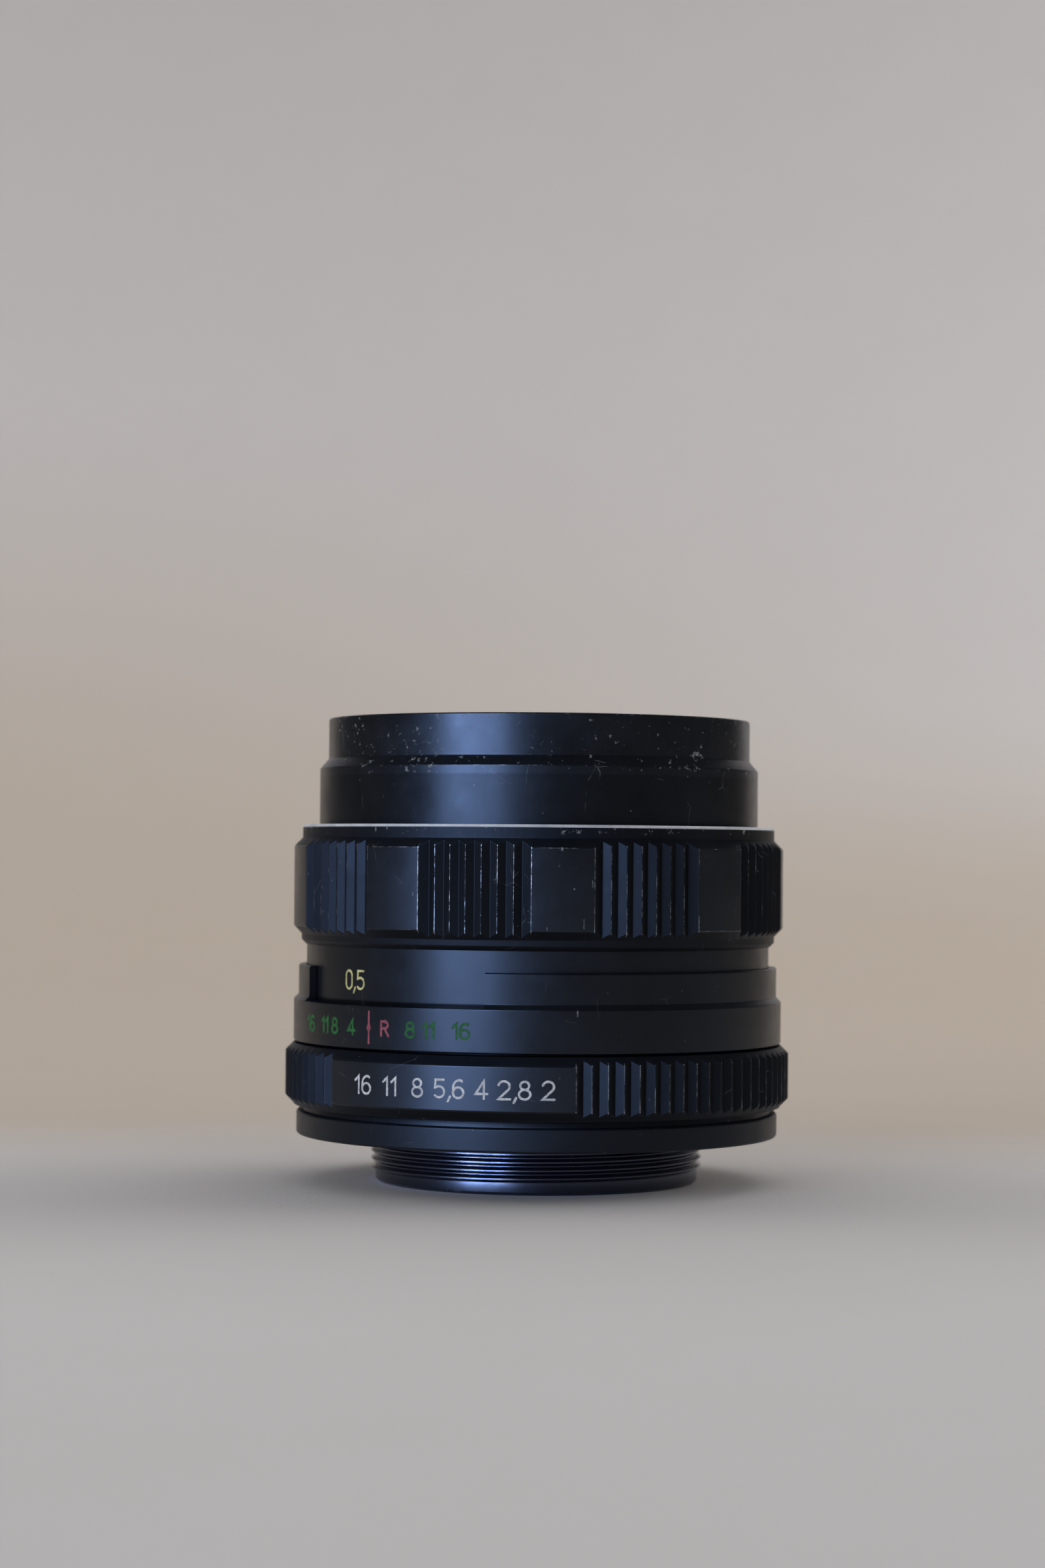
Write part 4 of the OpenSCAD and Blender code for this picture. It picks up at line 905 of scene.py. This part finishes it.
focal, travel, turn = 58.0, 9.0, 270.0
nearest, nearest_az = "0,5", -49.5
distances = (nearest, "0,55", "0,6", "0,65", "0,7", "0,8", "1", "1,2", "1,5", "2", "3", "5", "10")


def turn_at(label):
    """How far the focusing ring stands from infinity at a distance in metres from the film."""
    distance = 1000 * float(label.replace(",", "."))
    k = distance / focal - 2
    magnification = (k - math.sqrt(k * k - 4)) / 2
    return min(turn, turn * magnification * focal / travel)


infinity_az = nearest_az - turn_at(nearest)
items = [(text_lines(t, 2.4, 0.13), infinity_az + turn_at(t), distance_z) for t in distances]
items.append((text_lines(["infinity"], 2.2), infinity_az, distance_z))
figures("distance_figures", items, sleeve_r, "focus_ring", "yellow", 0.27)

# ---------------------------------------------------------------- carried-over CAD nodes

CARRIED_OVER = {
    "dark_steel": ("mount_screws", "scale_ring_screws", "baffle_screws", "aperture_drive_screws"),
    "steel": ("guide_tube_screws", "guide_key_screws", "focus_stop_pin", "click_ball", "click_spring",
              "pin_bracket_screw", "pin_spring", "stop_down_pin", "drive_fork", "pivot_pins", "cam_ring_pin"),
    "brass": ("guide_keys", "focus_retaining_ring", "pin_bracket", "focus_helicoid", "transfer_ring",
              "lens_helicoid", "cell_lock_ring", "cam_ring"),
    "lacquer": ("rear_baffle", "diaphragm_housing", "doublet_lock_ring", "rear_doublet_ring", "pivot_plate"),
    "rear": ("base_body", "mode_switch"),
    "alu": ("guide_tube",),
}
for key, names in CARRIED_OVER.items():
    for name in names:
        o = nodes[name]
        if not o.material_slots:
            o.data.materials.append(MAT[key])
        for slot in o.material_slots:
            slot.link = "OBJECT"
            slot.material = MAT[key]

# ---------------------------------------------------------------- floor and backdrop, in metres

floor_z = cad_box[0][2]


def paper():
    """Pale paper, tan behind the lens, with light and shade painted into its colour: a greyer floor in front,
    a wall made paler above and to the right, and a painted shadow on the floor round the lens.
    """
    m = new_material("pale_paper")
    g = Graph(m)
    tex = g.node("ShaderNodeTexCoord").outputs["Object"]
    side, far, height = g.node("ShaderNodeSeparateXYZ", inputs={0: tex}).outputs
    fibre = g.noise(tex, 1400.0, 4.0, 0.65)
    blotch = g.noise(tex, 45.0, 4.0, 0.6)
    # painted light: the tan is the paper's own colour, and the grey of the floor in front stands for the
    # bluish window light on it
    color = g.mix(g.step(far, -0.01, 0.10), (0.470, 0.452, 0.447, 1), (0.400, 0.340, 0.280, 1))
    # painted shadow: the floor is darkened round the lens, a soft contact shadow put into the paper's colour
    from_lens = g.node("ShaderNodeVectorMath", operation="LENGTH", inputs={0: tex}).outputs["Value"]
    near = g.sub(1.0, g.step(from_lens, 0.035, 0.14))
    color = g.mix(g.mul(near, 0.5), color, (0.33, 0.315, 0.31, 1))
    # painted light: the wall above is made greyer and paler, for the light that falls on it
    color = g.mix(g.step(height, 0.02, 0.24), color, (0.472, 0.446, 0.438, 1))
    # painted light: the wall is made paler to the right, where more light falls on it
    painted_light_right = g.mul(g.step(side, -0.25, 0.35), g.step(height, 0.0, 0.1))
    color = g.mix(painted_light_right, color, (0.492, 0.472, 0.468, 1))
    color = g.mix(g.mul(g.step(blotch, 0.35, 0.8), 0.14), color, (0.43, 0.40, 0.38, 1))
    color = g.mix(g.mul(g.step(fibre, 0.3, 0.75), 0.20), color, (0.42, 0.39, 0.37, 1))
    g.shade(color, 0.85, g.bump(0.35, 0.2, fibre), 0.2)
    return m


def backdrop():
    """A seamless paper sweep: a flat floor that curves up behind the lens."""
    half_width, front, back, bend, wall_top = 0.62, -1.6, 0.55, 0.45, 3.0
    profile = [(front, 0.0), (back, 0.0)]
    for i in range(1, 25):
        a = math.radians(90 * i / 24)
        profile.append((back + bend * math.sin(a), bend - bend * math.cos(a)))
    profile.append((back + bend, wall_top))
    verts = [(x, y, floor_z + z) for y, z in profile for x in (-half_width, half_width)]
    faces = [(2 * i, 2 * i + 1, 2 * i + 3, 2 * i + 2) for i in range(len(profile) - 1)]
    mesh = bpy.data.meshes.new("paper_sweep")
    mesh.from_pydata(verts, [], faces)
    mesh.polygons.foreach_set("use_smooth", [True] * len(mesh.polygons))
    mesh.materials.append(paper())
    o = bpy.data.objects.new("paper_sweep", mesh)
    scene.collection.objects.link(o)


backdrop()

# ---------------------------------------------------------------- light, in metres and watts

def area(name, azimuth, elevation, distance, width, height, power, color, aim=(0, 0, 0.022), matte=True,
         gloss=True):
    """A soft panel light. Azimuth 0 is the camera's side and a positive azimuth is towards +X. A light may be
    kept off matte surfaces or out of reflections."""
    data = bpy.data.lights.new(name, "AREA")
    data.shape = "RECTANGLE"
    data.size, data.size_y = width, height
    data.energy = power
    data.color = color
    o = bpy.data.objects.new(name, data)
    x, y = polar(azimuth, distance * math.cos(math.radians(elevation)))
    place = Vector((x, y, distance * math.sin(math.radians(elevation)))) + Vector(aim)
    o.location = place
    o.rotation_euler = (Vector(aim) - place).to_track_quat("-Z", "Y").to_euler()
    o.visible_diffuse = matte
    o.visible_glossy = gloss
    scene.collection.objects.link(o)
    return o


# the window is seen only in reflections, and the soft lights only on matte surfaces
window_blue = (0.42, 0.60, 1.0)
area("window_pane_left", -42, 18, 1.6, 0.46, 1.12, 32.5, window_blue, matte=False)
area("window_pane_right", -25, 18, 1.6, 0.26, 1.12, 17.6, window_blue, matte=False)
area("window_soft", -35, 14, 1.6, 0.9, 0.8, 5.5, (0.92, 0.96, 1.0), gloss=False)
area("fill_right", 112, 16, 1.3, 0.9, 0.6, 11.0, (1.0, 0.96, 0.92), gloss=False)
area("fill_left", -112, 16, 1.3, 0.9, 0.6, 7.0, (1.0, 0.98, 0.96), gloss=False)
area("overhead_soft", 172, 58, 1.7, 1.6, 1.6, 17.5, (1.0, 0.97, 0.94), gloss=False)

# the table mirrors the window into the mount thread: two low panes that light only that ring
thread_only = bpy.data.collections.new("thread_only")
thread_only.objects.link(bpy.data.objects["mount_thread_ring"])
for name, azimuth, width, power in (("table_pane_left", -43, 0.084, 2.4),
                                    ("table_pane_right", -26, 0.047, 1.3)):
    pane = area(name, azimuth, 3, 0.30, width, 0.034, power, window_blue, aim=(0, 0, -0.003), matte=False)
    pane.light_linking.receiver_collection = thread_only


def room():
    """Even light on matte surfaces, and a dark room in the reflections."""
    matte_strength, mirrored_strength = 0.50, 0.065
    world = bpy.data.worlds.new("room")
    scene.world = world
    world.use_nodes = True
    world.node_tree.nodes.clear()
    g = Graph(world)
    mirrored = g.node("ShaderNodeLightPath").outputs["Is Glossy Ray"]
    strength = g.mixf(mirrored, matte_strength, mirrored_strength)
    light = g.node("ShaderNodeBackground", inputs={0: (0.90, 0.94, 1.0, 1), 1: strength})
    g.put(g.node("ShaderNodeOutputWorld").inputs[0], light.outputs[0])


room()

# ---------------------------------------------------------------- camera

camera_place = (-0.00211, -0.420, 0.03545)
look_up, roll = 1.215, 0.475  # degrees
data = bpy.data.cameras.new("camera")
data.sensor_fit = "VERTICAL"
data.sensor_height = 36.0
data.lens = 75.56
data.clip_start = 0.01
data.clip_end = 20.0
data.dof.use_dof = True
data.dof.focus_distance = 0.389
data.dof.aperture_fstop = 22.0
camera = bpy.data.objects.new("camera", data)
scene.collection.objects.link(camera)
look = Matrix.Rotation(math.radians(90 + look_up), 4, "X") @ Matrix.Rotation(math.radians(roll), 4, "Z")
camera.matrix_world = Matrix.Translation(camera_place) @ look
scene.camera = camera
scene.view_settings.view_transform = "Standard"
